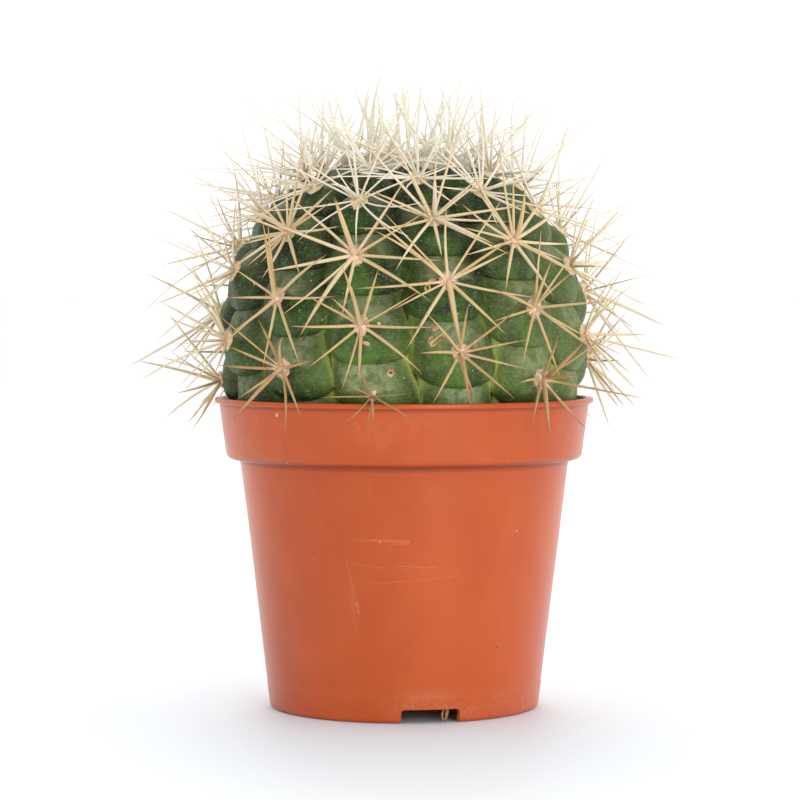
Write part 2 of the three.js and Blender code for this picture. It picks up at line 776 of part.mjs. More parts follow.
// A closed tapering tube along a run of points, grown by a gap for the channel that holds it.
function taperedTube({ points, radii }, grow) {
  const path = new THREE.CatmullRomCurve3(points);
  const steps = points.length + 1;
  const frames = path.computeFrenetFrames(steps, false);
  const positions = [];
  for (let i = 0; i <= steps; i++) {
    const share = (i / steps) * (radii.length - 1);
    const k = Math.min(radii.length - 2, Math.floor(share));
    const radius = mix(radii[k], radii[k + 1], share - k) + grow;
    const centre = path.getPoint(i / steps);
    for (let j = 0; j < ROOT.sides; j++) {
      const angle = (j * TAU) / ROOT.sides;
      const p = centre.clone().addScaledVector(frames.normals[i], radius * Math.cos(angle));
      p.addScaledVector(frames.binormals[i], radius * Math.sin(angle));
      positions.push(p.x, p.y, p.z);
    }
  }
  const index = [];
  const at = (i, j) => i * ROOT.sides + (j % ROOT.sides);
  for (let i = 0; i < steps; i++) {
    for (let j = 0; j < ROOT.sides; j++) {
      index.push(at(i, j), at(i, j + 1), at(i + 1, j + 1), at(i, j), at(i + 1, j + 1), at(i + 1, j));
    }
  }
  for (let j = 1; j < ROOT.sides - 1; j++) {
    index.push(at(0, 0), at(0, j + 1), at(0, j));
    index.push(at(steps, 0), at(steps, j), at(steps, j + 1));
  }
  const geometry = new THREE.BufferGeometry();
  geometry.setAttribute("position", new THREE.Float32BufferAttribute(positions, 3));
  geometry.setIndex(index);
  return geometry;
}

const rootSystem = (grow) =>
  rootRuns()
    .map((run) => solidFrom(taperedTube(run, grow)))
    .reduce((all, run) => all.add(run));

// Soil: fills the pot to a little under the rim, with a bowl for the stem and channels for the roots.
function makeSoil() {
  const { gap, bowlGap, top, sides } = SOIL;
  const floor = POT.floorUnder + POT.floorThickness + gap;
  const shelf = POT.ledgeZ + POT.wall + gap;
  // The bowl follows the stem's rings, so their flat facets stay parallel.
  const inBowl = (arcLength) => {
    const { radius, z, normalOut, normalUp } = outlineAt(arcLength);
    const away = bowlGap - 0.5 * TUBERCLE.depth;
    return [radius + away * normalOut, z + away * normalUp];
  };
  const bowl = stemRings().map(inBowl).filter(([, z]) => z < top - 1);
  const mouthArc = MERIDIAN.find((row) => row.arc > STEM_ARC / 2 && row.z < top).arc;
  const mouth = [inBowl(mouthArc)[0] + bowlGap, top];
  const profile = [
    [0, floor],
    [wallRadius(floor) - POT.wall - gap, floor],
    [wallRadius(shelf) - POT.wall - gap, shelf],
    [collarInner(shelf) - gap, shelf],
    [collarInner(top) - gap, top - 0.6],
    mouth,
    ...bowl,
    [0, STEM.widestZ - STEM.drop - bowlGap],
    [0, floor],
  ];
  return geometryFrom(solidFrom(turned(profile, sides)).subtract(rootSystem(ROOT.channelGap)));
}

// Materials, with colours from the real object.
const finish = (color, roughness) => new THREE.MeshStandardMaterial({ color, roughness, metalness: 0 });
const MATERIALS = {
  pot: finish(0xcb6744, 0.45),
  soil: finish(0x3b2a1e, 0.95),
  stem: finish(0x4c6b3a, 0.5),
  areole: finish(0xe3cfa2, 0.6),
  crown: finish(0xf0ece0, 0.6),
  root: finish(0xb59a63, 0.8),
};

function named(name, geometry, material) {
  const mesh = new THREE.Mesh(geometry, material);
  mesh.name = name;
  return mesh;
}

// The plant and its pot.
const cactus = new THREE.Group();
cactus.name = "potted_round_cactus";

const container = new THREE.Group();
container.add(named("pot", makePot(), MATERIALS.pot), named("soil", makeSoil(), MATERIALS.soil));

const plant = new THREE.Group();
plant.add(named("stem", makeStem(), MATERIALS.stem));
plant.add(named("roots", geometryFrom(rootSystem(0)), MATERIALS.root));

const seats = [];
for (let n = AREOLE.first; n <= AREOLE.last; n++) seats.push(areole(n));
placed.pads = seats.map(({ n, place, normal, padRadius, padHeight }) => ({
  n,
  root: place,
  tip: place.clone().addScaledVector(normal, padHeight),
  radius: padRadius,
}));
// The measured sprays are placed first, and the others give way to them.
const sprays = new Map();
for (const seat of seats.filter(({ n }) => MEASURED[n])) sprays.set(seat.n, areoleSpines(seat));
for (const seat of seats.filter(({ n }) => !MEASURED[n])) sprays.set(seat.n, areoleSpines(seat));
for (const seat of seats) plant.add(makeAreole(seat, sprays.get(seat.n), MATERIALS.areole));
plant.add(makeCrown(MATERIALS.crown));

cactus.add(container, plant);

export default cactus;
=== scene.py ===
# %% [markdown]
# # A round cactus in a plastic nursery pot
# The solid model gives every piece its place and size. This script grows a finer skin on it: smooth
# moulded plastic, a waxy knobbly stem, hundreds of horny spines and the felt that they stand in.
# Lengths are written in millimetres and turned into metres when a mesh is made. +Z is up, the front
# is -Y, and an azimuth is counted in radians from the front towards +X.

# %% Load the frame
import math
from functools import reduce

import bpy
import numpy as np
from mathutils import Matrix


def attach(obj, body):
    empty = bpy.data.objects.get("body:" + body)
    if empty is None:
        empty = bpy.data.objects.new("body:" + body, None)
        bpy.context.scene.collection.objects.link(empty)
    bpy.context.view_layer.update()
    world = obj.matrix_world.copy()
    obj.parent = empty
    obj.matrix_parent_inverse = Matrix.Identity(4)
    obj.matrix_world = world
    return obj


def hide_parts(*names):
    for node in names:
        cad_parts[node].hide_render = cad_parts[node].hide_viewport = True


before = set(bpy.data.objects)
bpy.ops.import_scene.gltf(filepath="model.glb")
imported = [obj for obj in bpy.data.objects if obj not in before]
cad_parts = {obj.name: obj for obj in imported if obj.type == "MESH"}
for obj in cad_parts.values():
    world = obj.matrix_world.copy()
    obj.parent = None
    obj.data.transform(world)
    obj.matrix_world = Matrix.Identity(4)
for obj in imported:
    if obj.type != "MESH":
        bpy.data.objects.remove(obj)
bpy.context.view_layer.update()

MM = 0.001
TAU = 2 * math.pi

# %% [markdown]
# ## Camera
# The photograph was taken from about 93 cm away, a little above the widest part of the plant, with a
# long lens. The ellipses of the pot's lip and foot give the height and the small downward tilt.

# %% Camera
AWAY, EYE_HEIGHT, TILT = 930, 132.5, 2.173  # millimetres, and degrees downwards
camera_data = bpy.data.cameras.new("camera")
camera_data.sensor_width, camera_data.lens = 36, 131.7
camera = bpy.data.objects.new("camera", camera_data)
camera.location = (-1.3 * MM, -AWAY * MM, EYE_HEIGHT * MM)
camera.rotation_euler = (math.radians(90 - TILT), 0, 0)
bpy.context.scene.collection.objects.link(camera)
bpy.context.scene.camera = camera
bpy.context.scene.view_settings.view_transform = "Standard"
print("camera at", [round(v, 3) for v in camera.location], "lens", camera_data.lens)

# %% [markdown]
# ## Numbers as whole arrays
# Every shape below is a formula worked out for all its points at once. Small helpers blend and
# roughen arrays: a smooth step, a mix, and a wobble made of sine waves in random directions.

# %% Helpers for arrays


def smoothstep(a, b, x):
    """0 before a, 1 after b, and 3t^2 - 2t^3 between, where t runs from 0 to 1."""
    t = np.clip((x - a) / (b - a), 0, 1)
    return t * t * (3 - 2 * t)


def mix(a, b, t):
    """a where t is 0, b where t is 1."""
    return a + (b - a) * t


def wobble(points, size, seed, waves=16):
    """Smooth bumps from about -1 to 1: a sum of sine waves in random directions, about size long."""
    rng = np.random.default_rng(seed)
    way = rng.normal(size=(3, waves))
    way *= TAU / (size * rng.uniform(0.7, 1.5, waves)) / np.linalg.norm(way, axis=0)
    return np.sin(points @ way + rng.uniform(0, TAU, waves)).sum(-1) / math.sqrt(waves)


def unit(vectors):
    """Each vector divided by its length."""
    return vectors / np.maximum(np.linalg.norm(vectors, axis=-1, keepdims=True), 1e-12)


def wrapped(angle):
    """The same angle, from minus half a turn to half a turn."""
    return (angle + math.pi) % TAU - math.pi


print("smoothstep a quarter of the way:", float(smoothstep(0, 1, 0.25)))

# %% [markdown]
# ## Meshes from grids
# A surface is a grid of points, row after row. Quads join neighbours, and a fan of triangles closes a
# pole. One function puts the arrays into a mesh, with a number per point where the finish needs it.

# %% Helpers for meshes


def grid_faces(rows, columns, start=0, upward=False):
    """Quads between the points of a closed band. They face out where rows run down, or up if upward."""
    i, j = np.meshgrid(np.arange(rows - 1), np.arange(columns), indexing="ij")
    k = (j + 1) % columns
    a, b, c, d = i * columns + j, i * columns + k, (i + 1) * columns + k, (i + 1) * columns + j
    corners = [a, b, c, d] if upward else [a, d, c, b]
    return (np.stack(corners, -1).reshape(-1, 4) + start).tolist()


def fan_faces(pole, ring, columns, flip=False):
    """Triangles from a pole to the ring of points that starts at an index."""
    j = np.arange(columns)
    pair = [ring + j, ring + (j + 1) % columns]
    if flip:
        pair.reverse()
    return np.stack([np.full(columns, pole), *pair], -1).tolist()


def capped(band, first, last, upward=False):
    """Points and faces of a band of rows that a pole closes at each end."""
    rows, columns = band.shape[:2]
    count = rows * columns
    faces = grid_faces(rows, columns, upward=upward) + fan_faces(count, 0, columns, flip=upward)
    faces += fan_faces(count + 1, count - columns, columns, flip=not upward)
    return np.vstack([band.reshape(-1, 3), [first, last]]), faces


def many(count, rows, columns):
    """Faces of equal shapes, one after another in the list of points. Each is a band of rows that a pole
    closes at its last row, and a flat face at its first."""
    size = rows * columns + 1
    start = np.arange(count)[:, None, None] * size
    quads = np.array(grid_faces(rows, columns, upward=True)) + start
    tips = np.array(fan_faces(size - 1, size - 1 - columns, columns)) + start
    feet = np.arange(columns)[::-1] + start[:, 0]
    return quads.reshape(-1, 4).tolist() + tips.reshape(-1, 3).tolist() + feet.tolist()


def joined(*shapes):
    """One array of points and one list of faces for several shapes."""
    faces, start = [], 0
    for points, own in shapes:
        faces += [[corner + start for corner in face] for face in own]
        start += len(points)
    return np.vstack([points for points, own in shapes]), faces


def add_piece(name, shape, finish, nodes, values=None):
    """A mesh piece, from points in millimetres, that stands for CAD nodes. values holds what the finish
    reads at each point: an array of numbers for each attribute."""
    mesh = bpy.data.meshes.new(name)
    mesh.from_pydata((shape[0] * MM).tolist(), [], shape[1])
    mesh.polygons.foreach_set("use_smooth", np.ones(len(mesh.polygons), bool))
    for key, numbers in (values or {}).items():
        layer = mesh.attributes.new(key, "FLOAT", "POINT")
        layer.data.foreach_set("value", np.asarray(numbers, np.float32).ravel())
    mesh.materials.append(finish)
    piece = bpy.data.objects.new(name, mesh)
    bpy.context.scene.collection.objects.link(piece)
    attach(piece, "root")
    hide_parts(*nodes)
    mesh.calc_loop_triangles()
    print(name, len(mesh.vertices), "points,", len(mesh.loop_triangles), "triangles")
    return piece


print("a band of 3 rows and 4 columns has", len(grid_faces(3, 4)), "quads")

# %% [markdown]
# ## Shader maths in Python
# A finish is a small web of nodes. Wrapping a socket in a class lets its numbers be added and
# multiplied as in Python, and each step adds one Math node. Colours are blended by Mix nodes.

# %% Shader helpers


def rgb(red, green, blue):
    """A screen colour, 0 to 255, as the linear colour that a shader takes."""
    share = np.array([red, green, blue]) / 255
    linear = np.where(share < 0.04045, share / 12.92, ((share + 0.055) / 1.055) ** 2.4)
    return (*linear.tolist(), 1.0)


def maths(operation, swapped=False):
    """A method that adds a Math node for a wire and another wire or number."""
    def method(wire, other):
        terms = (other, wire) if swapped else (wire, other)
        return wire.web.node("ShaderNodeMath", dict(enumerate(terms)), operation=operation)
    return method


class Wire:
    """A node's output. Arithmetic on it adds Math nodes and gives a new wire."""

    __add__ = __radd__ = maths("ADD")
    __mul__ = __rmul__ = maths("MULTIPLY")
    __sub__, __rsub__ = maths("SUBTRACT"), maths("SUBTRACT", swapped=True)
    __pow__, max = maths("POWER"), maths("MAXIMUM")

    def __init__(self, web, socket):
        self.web, self.socket = web, socket

    def step(self, low, high):
        """Smoothly 0 below low and 1 above high, or the other way round where low is the larger."""
        ends = {"From Min": min(low, high), "From Max": max(low, high)}
        ends |= {"To Min": float(low > high), "To Max": float(low < high)}
        return self.web.node("ShaderNodeMapRange", {"Value": self, **ends}, interpolation_type="SMOOTHSTEP")


class Web:
    """A tree of nodes."""

    def __init__(self, tree):
        self.tree = tree

    def node(self, kind, inputs, output=0, stops=(), **settings):
        """Adds a node of a kind, sets it up, then gives its sockets their values or links."""
        node = self.tree.nodes.new(kind)
        for key, value in settings.items():
            setattr(node, key, value)
        if stops:
            elements = node.color_ramp.elements
            while len(elements) < len(stops):
                elements.new(0.5)
            for element, (position, colour) in zip(elements, stops):
                element.position, element.color = position, colour
        for key, value in inputs.items():
            if isinstance(value, Wire):
                self.tree.links.new(value.socket, node.inputs[key])
            else:
                node.inputs[key].default_value = value
        return Wire(self, node.outputs[output])


print("terracotta as a linear colour:", [round(v, 3) for v in rgb(205, 103, 70)])

# %% A class for finishes


class Finish(Web):
    """A material and the calls that wire its nodes."""

    def __init__(self, name, **fixed):
        self.material = bpy.data.materials.new(name)
        self.material.use_nodes = True
        super().__init__(self.material.node_tree)
        self.shader = self.tree.nodes["Principled BSDF"]
        for key, value in fixed.items():
            self.shader.inputs[key.replace("_", " ")].default_value = value
        self.place = self.node("ShaderNodeTexCoord", {}, "Object")

    def values(self, *names):
        """Numbers that the mesh carries at each point."""
        return [self.node("ShaderNodeAttribute", {}, "Fac", attribute_name=name) for name in names]

    def axis(self, letter):
        """How far along X, Y or Z a point is, in millimetres."""
        return self.node("ShaderNodeSeparateXYZ", {0: self.place}, letter) * (1 / MM)

    def vector(self, operation, a, b=(0, 0, 0), output="Vector", **others):
        """Vector arithmetic on two wires or plain vectors."""
        return self.node("ShaderNodeVectorMath", {0: a, 1: b, **others}, output, operation=operation)

    def stretched(self, x, y, z):
        """Object coordinates with each axis scaled."""
        return self.vector("MULTIPLY", self.place, (x, y, z))

    def noise(self, size, detail=3, roughness=0.55, place=None):
        """Cloudy noise from 0 to 1 whose lumps are about size millimetres across."""
        inputs = {"Vector": place or self.place, "Scale": 1 / (size * MM)}
        inputs |= {"Detail": detail, "Roughness": roughness}
        return self.node("ShaderNodeTexNoise", inputs, "Fac")

    def cells(self, size, output="Distance"):
        """Distance to the nearest of scattered points, in cell widths, or that cell's own colour."""
        return self.node("ShaderNodeTexVoronoi", {"Vector": self.place, "Scale": 1 / (size * MM)}, output)

    def scattered(self, size, reach, chosen, edge=0.0):
        """Spots: 1 near the points of cells whose own random number is chosen. edge makes them ragged."""
        number = self.node("ShaderNodeSeparateColor", {0: self.cells(size, "Color")})
        return (self.cells(size) + edge).step(*reach) * number.step(*chosen)

    def blend(self, a, b, share):
        """Colour a where share is 0 and colour b where it is 1."""
        return self.node("ShaderNodeMix", {0: share, 6: a, 7: b}, 2, data_type="RGBA")

    def paint(self, colour, *layers):
        """A colour with layers of (colour, share) blended over it, one after another."""
        return reduce(lambda below, layer: self.blend(below, *layer), layers, colour)

    def ramp(self, number, *stops):
        """A colour for each number, blended between stops of (number, colour)."""
        return self.node("ShaderNodeValToRGB", {0: number}, "Color", stops)

    def near(self, start, end=None, place=None):
        """Distance in millimetres from a point, or from the straight line between two points."""
        start = np.array(start) * MM
        away = self.vector("SUBTRACT", place or self.place, tuple(start))
        if end is not None:
            line = np.array(end) * MM - start
            share = self.vector("DOT_PRODUCT", away, tuple(line / max(line @ line, 1e-12)), "Value")
            share = self.node("ShaderNodeClamp", {0: share})
            away = self.vector("SUBTRACT", away, self.vector("SCALE", tuple(line), Scale=share))
        return self.vector("LENGTH", away, output="Value") * (1 / MM)

    def bump(self, height, depth):
        """A surface raised by height times depth millimetres."""
        return self.node("ShaderNodeBump", {"Height": height, "Distance": depth * MM, "Strength": 1.0})

    def wire(self, **sockets):
        """Links the finished wires to the shader and gives back the material."""
        for key, value in sockets.items():
            self.tree.links.new(value.socket, self.shader.inputs[key.replace("_", " ")])
        return self.material


print("calls on a finish:", *(name for name in vars(Finish) if name[0] != "_"))

# %% [markdown]
# ## Studio
# The plant stands on a white floor in soft light from all round. A white sky does most of it, a little
# brighter behind, above and on the right. One large lamp stands in front on the right, and another hangs
# behind: it lays the soft shadow forwards and draws pale edges on the spines and the satin pot.

# %% Floor and light
FLOOR_REACH = 40  # metres from the plant to the floor's edges
SKY, SKY_LEAN = 0.84, (0.06, 0.42, 0.2)  # mean strength, and what looking along each axis adds
floor = Finish("studio_floor", Roughness=0.6, Specular_IOR_Level=0.2)
far_away = floor.near((0, 0, 0)).step(45, 300)
floor_mesh = bpy.data.meshes.new("studio_floor")
floor_corners = [(x * FLOOR_REACH, y * FLOOR_REACH, 0) for x, y in ((-1, -1), (1, -1), (1, 1), (-1, 1))]
floor_mesh.from_pydata(floor_corners, [], [(0, 1, 2, 3)])
# The floor is painted a cool white near the plant, as a painted shade tint that cancels the warm light
# bounced from the pot; further out it is plain white.
floor_colour_with_painted_shade_tint = floor.blend(rgb(238, 249, 255), rgb(255, 255, 255), far_away)
floor_mesh.materials.append(floor.wire(Base_Color=floor_colour_with_painted_shade_tint))
studio_floor = bpy.data.objects.new("studio_floor", floor_mesh)
bpy.context.scene.collection.objects.link(studio_floor)

world = bpy.data.worlds.new("studio_sky")
world.use_nodes = True
bpy.context.scene.world = world
sky, background = Web(world.node_tree), world.node_tree.nodes["Background"]
background.inputs["Color"].default_value = (1, 1, 1, 1)
both = {0: sky.node("ShaderNodeTexCoord", {}, "Generated"), 1: SKY_LEAN}
brightness = sky.node("ShaderNodeVectorMath", both, "Value", operation="DOT_PRODUCT") + SKY
world.node_tree.links.new(brightness.socket, background.inputs["Strength"])


def add_lamp(name, place, size, power):
    """A square soft lamp, in metres, that faces the plant."""
    data = bpy.data.lights.new(name, "AREA")
    data.size, data.energy = size, power
    lamp = bpy.data.objects.new(name, data)
    lamp.location = place
    way = np.array((0, 0, 0.1)) - np.array(place)
    tilt, turn = math.acos(-way[2] / np.linalg.norm(way)), math.atan2(way[1], way[0])
    lamp.rotation_euler = (tilt, 0, turn - TAU / 4)
    bpy.context.scene.collection.objects.link(lamp)
    return lamp


key_lamp = add_lamp("key_lamp", (0.6, -1.4, 0.3), 0.8, 10)
back_lamp = add_lamp("back_lamp", (-0.1, 1.7, 1.6), 1.2, 12)
print("sky strength", SKY, "; lamps of", key_lamp.data.energy, "and", back_lamp.data.energy, "W")

# %% [markdown]
# ## The stem's outline and its spiral
# A cactus grows from a point on top. Seen from the side, its outline is two half superellipses with a
# small dip at the growing point. Each new areole is turned by the same angle from the last, so they
# lie on a spiral, and here that gives thirteen leaning ribs. The same few numbers as in the solid model
# place every areole, so felt, skin and spines meet.

# %% Outline
WIDEST, WIDEST_Z, RISE, DROP = 59, 113, 61, 41  # radius, its height, and how far the stem goes up and down
ROUND_ABOVE, ROUND_BELOW, DIP, DIP_RADIUS = 2.3, 2.2, 3, 13
turn_down = np.linspace(0, math.pi, 1801)
above = turn_down <= math.pi / 2
power = np.where(above, 2 / ROUND_ABOVE, 2 / ROUND_BELOW)
line_radius = WIDEST * np.clip(np.sin(turn_down), 0, 1) ** power
line_rise = np.abs(np.cos(turn_down)) ** power
line_dip = DIP * np.exp(-((line_radius / DIP_RADIUS) ** 2))
line_z = WIDEST_Z + np.where(above, RISE * line_rise - line_dip, -DROP * line_rise)
line_arc = np.concatenate([[0], np.cumsum(np.hypot(np.diff(line_radius), np.diff(line_z)))])
slope_r, slope_z = np.gradient(line_radius, line_arc), np.gradient(line_z, line_arc)


def outline(arc):
    """Radius, height, and the outward normal's two parts, at an arc length from the growing point."""
    return [np.interp(arc, line_arc, line) for line in (line_radius, line_z, -slope_z, slope_r)]


print("outline", round(line_arc[-1], 1), "mm long")

# %% Spiral of areoles
RIBS, TURN = 13, math.radians(-138.231)
MARKED, MARKED_AZIMUTH = 71, math.radians(16.3)  # the areole that the spiral is counted from
YOUNG_STEP, GROWTH, MATURE = 0.888, 0.00692, 55  # the steps down grow until areole 55
MATURE_STEP = YOUNG_STEP + 2 * GROWTH * MATURE
MATURE_ARC = YOUNG_STEP * MATURE + GROWTH * MATURE**2


def areole_arc(n):
    """Arc length of areole n: a n + b n^2 while the steps still grow, then equal steps."""
    return np.where(n < MATURE, YOUNG_STEP * n + GROWTH * n * n, MATURE_ARC + MATURE_STEP * (n - MATURE))


def number_at(arc):
    """The areole number, as a fraction, at an arc length: the quadratic above, solved for n."""
    young = (-YOUNG_STEP + np.sqrt(YOUNG_STEP**2 + 4 * GROWTH * np.maximum(arc, 0))) / (2 * GROWTH)
    return np.where(arc >= MATURE_ARC, MATURE + (arc - MATURE_ARC) / MATURE_STEP, young)


def step_at(n):
    """How far areole n + 1 lies below areole n."""
    return np.minimum(YOUNG_STEP + 2 * GROWTH * n, MATURE_STEP)


def azimuth_of(n):
    """Azimuth of areole n: the marked one's, plus one turn of the spiral for each areole."""
    return MARKED_AZIMUTH + (n - MARKED) * TURN


def around(azimuth, radius=None, z=None):
    """Points at an azimuth, a radius from the axis and a height. Without those, level unit vectors."""
    points = np.stack([np.sin(azimuth), -np.cos(azimuth), 0 * azimuth], -1)
    if radius is not None:
        points = points * np.asarray(radius)[..., None]
        points[..., 2] = z
    return points


def seats(n):
    """Place, and unit vectors across the rib, up the rib and out of the skin, for areole numbers n."""
    radius, z, normal_out, normal_up = outline(areole_arc(n))
    azimuth = azimuth_of(n)
    across = np.stack([np.cos(azimuth), np.sin(azimuth), 0 * azimuth], -1)
    normal = around(azimuth, normal_out, normal_up)
    return around(azimuth, radius, z), across, np.cross(normal, across), normal


marked_height = float(outline(areole_arc(MARKED))[1])
print("areole", MARKED, "is at height", round(marked_height, 1))

# %% [markdown]
# ## The stem's skin
# The ribs are rows of tubercles: chin-shaped knobs that overlap like tiles, each with an areole at its
# tip. Across the rib, a knob's height is a rounded section. Along it, a roof rises to the areole, and
# below that a chin drops away, sooner at its sides, so its edge is round like a bowl's. The skin's
# height is the largest of all the knobs' heights. Where two knobs meet, the skin is creased a little
# more, and each chin is pushed down over the knob below it. The mesh also carries what the colour
# needs: roofs, folds between the knobs of a rib, grooves between ribs, and the place on the knob.

# %% Stem shape
DEPTH, CHIN, FOLD = 6.2, 1.5, 1.2  # groove to tip, droop of a chin, and depth of a crease
SECTION_ROUND, HALF_WIDTH, SWELL = 2.6, 1.09, 0.12  # across a knob
ROOF_FALL, ROOF_ROUND, CHIN_END, CHIN_ROUND, BELLY, BOWL = 0.62, 1.4, 0.62, 2.8, 0.09, 0.34  # along it
KNOBS, REACH = 98, 0.75
COLUMNS, GATHER = RIBS * 30, 0.45  # columns of points, and how much they gather at the grooves
RELIEF_TOP, RELIEF_END = 17, 124  # arc lengths between which the rows lie close
rows_arc = np.concatenate([
    np.linspace(0.4, RELIEF_TOP, 14, endpoint=False),
    np.linspace(RELIEF_TOP, RELIEF_END, 214, endpoint=False),
    np.linspace(RELIEF_END, line_arc[-1] - 0.3, 12),
])
lean = wrapped(azimuth_of(MARKED + RIBS) - azimuth_of(MARKED))
arc = np.broadcast_to(rows_arc[:, None], (len(rows_arc), COLUMNS))
column = np.arange(COLUMNS) * TAU / COLUMNS
column = column + GATHER * np.sin(RIBS * column) / RIBS
azimuth = azimuth_of(MARKED) + lean * (number_at(arc) - MARKED) / RIBS + column
radius, z, normal_out, normal_up = outline(arc)

knob_shift = 0.07 * wobble(around(azimuth) * 50 + [0, 0, 1] * z[..., None], 26, 3)
height, roof, side = np.zeros(arc.shape), np.zeros(arc.shape), np.ones(arc.shape)
first, second = np.zeros((RIBS, *arc.shape)), np.zeros((RIBS, *arc.shape))  # a rib's two highest knobs
for n in range(KNOBS):
    v = (arc - float(areole_arc(n))) / (RIBS * float(step_at(n)))
    middle = azimuth_of(n) + lean * (number_at(arc) - n) / RIBS
    u = wrapped(azimuth - middle) * RIBS / math.pi + knob_shift
    x = np.abs(u) / (HALF_WIDTH + SWELL * np.sin(math.pi * (v - 0.05)))
    section = 1 - np.minimum(x, 1) ** SECTION_ROUND
    roof_height = section * (1 - ROOF_FALL * (np.maximum(-v, 0) / 0.5) ** ROOF_ROUND)
    edge = CHIN_END * (1 - BOWL * np.minimum(x, 1) ** 2)
    belly = BELLY * np.sin(math.pi * np.clip(v / 0.5, 0, 1)) * section
    chin_height = section - (np.maximum(v, 0) / edge) ** CHIN_ROUND + belly
    knob = np.maximum(np.where(v > 0, chin_height, roof_height), 0)
    knob = np.where((x < 1) & (np.abs(v) < REACH), knob, 0)
    rib = n % RIBS
    second[rib] = np.maximum(second[rib], np.minimum(first[rib], knob))
    first[rib] = np.maximum(first[rib], knob)
    higher = knob > height
    roof = np.where(higher, smoothstep(0.06, -0.15, v), roof)
    side = np.where(higher, x, side)
    height = np.where(higher, knob, height)
print("knobs:", KNOBS, "; the highest stands", round(float(height.max()), 2), "of the full depth")

# %% Stem surface
growth = np.clip(step_at(number_at(arc)) / MATURE_STEP, 0, 1)
buried = smoothstep(96, 86, z)
below = np.take_along_axis(second, np.argmax(first, axis=0)[None], axis=0)[0]
beside = np.sort(first, axis=0)[-2]
fold = np.exp(-(height - below) / 0.1) * (1 - buried)
groove = np.exp(-(height - beside) / 0.16) * (1 - buried)
crease = FOLD * growth * np.maximum(fold, groove) * smoothstep(16, 24, arc)
sunk = DEPTH * growth * (1 - mix(height, 0.5, buried)) + crease
chin = CHIN * growth * (1 - roof) * np.clip(4 * height * (1 - height), 0, 1) * (1 - buried)
stem_radius = np.maximum(radius - sunk * normal_out + chin * normal_up, 0)
stem_points = around(azimuth, stem_radius, z - sunk * normal_up - chin * normal_out)
uneven = 0.28 * wobble(stem_points, 11, 1) + 0.1 * wobble(stem_points, 4, 2)
stem_points += around(azimuth, normal_out, normal_up) * (uneven * growth * (1 - buried))[..., None]
print("stem grid", arc.shape, "knobs stand", DEPTH, "mm above the grooves")

# %% [markdown]
# ## The skin's finish
# The skin is waxy. The chins are dark and glossy, and grass green in their middles, a painted highlight;
# painted shade darkens the undersides of the chins and the creases and grooves between the knobs. The
# roofs are greyer and duller, with dust and fine wrinkles, and their grey waxy bloom is lightened as a
# painted highlight where they face up. The young skin near the top is painted darker, as painted shade
# under the spines, and the stem's left side is painted in shade and its right side lighter. A yellow-green
# margin runs down each groove, clearest on old skin. Corky scars are rings or blots; the ones in the
# photograph are put where it shows them.

# %% Places of the scars
SCARS = [  # picture places of both ends, size in millimetres, and how dark the pit inside is
    (427, 289, 427, 288, 1.1, 1), (389, 373, 391, 374, 1.5, 1), (431, 345, 444, 337, 1.0, 0.5),
    (427, 344, 430, 338, 0.7, 0), (433, 330, 435, 329, 0.6, 0), (364, 344, 368, 345, 0.65, 0),
    (377, 326, 379, 325, 0.6, 0), (254, 284, 255, 285, 0.7, 0), (230, 314, 231, 317, 0.8, 1),
    (432, 282, 433, 281, 0.7, 0),
]
PICTURE_MIDDLE, FOCAL_LENGTH = (404, 290), 2922  # in pixels, for the eye height and distance above
flat_points = stem_points.reshape(-1, 3)
in_front = flat_points[:, 1] < -8
from_eye = AWAY + flat_points[:, 1]
seen_x = np.where(in_front, PICTURE_MIDDLE[0] + FOCAL_LENGTH * flat_points[:, 0] / from_eye, 0)
seen_y = np.where(in_front, PICTURE_MIDDLE[1] + FOCAL_LENGTH * (EYE_HEIGHT - flat_points[:, 2]) / from_eye, 0)
print("points of the skin in front:", int(in_front.sum()), "; scars to place:", len(SCARS))

# %% Skin finish
skin = Finish("waxy_green_skin", Specular_IOR_Level=0.26)
roofed, folded, sideways, raised, old, grooved = skin.values("roof", "fold", "side", "tip", "old", "groove")
clouds, mottle, blotch = skin.noise(9, 4), skin.noise(1.6, 4, 0.7), skin.noise(3.4, 4, 0.62)
pores, flecks, to_right = skin.cells(0.55), skin.noise(0.5, 2, 0.7), skin.axis("X")
wrinkle = skin.noise(1.1, 3, 0.6, skin.stretched(1, 1, 2.6))
streaks = skin.noise(1.5, 3, 0.62, skin.stretched(1.4, 1.4, 0.35))
margin = sideways.step(0.66, 0.96) + (1 - roofed) * raised.step(0.75, 0.3) * 0.8
# Painted highlight: the middle of each chin is painted a lighter grass green, where light falls on it from
# the front.
painted_chin_highlight = (1 - roofed) * sideways.step(0.65, 0.05) * clouds.step(0.36, 0.6)
greyness = blotch.step(0.36, 0.6) * 0.7 + mottle.step(0.4, 0.65) * 0.3
grey = skin.blend(rgb(90, 108, 64), rgb(174, 182, 138), greyness)
# The roofs' grey is waxy bloom, and it is lightened further as a painted highlight where the roofs face up to
# the sky.
roof_bloom_and_painted_highlight = (roofed + (blotch - 0.5) * 0.7).step(0.25, 0.95)
roof_bloom_and_painted_highlight = roof_bloom_and_painted_highlight * (sideways + (clouds - 0.5) * 0.7).step(0.98, 0.22)
specks = skin.scattered(3.4, (0.1, 0.05), (0.5, 0.55))
specks = specks.max(skin.cells(1.7).step(0.11, 0.05) * blotch.step(0.5, 0.6) * 0.4)
dust = skin.noise(0.5, 2, 0.8).step(0.68, 0.77) * roofed * 0.3

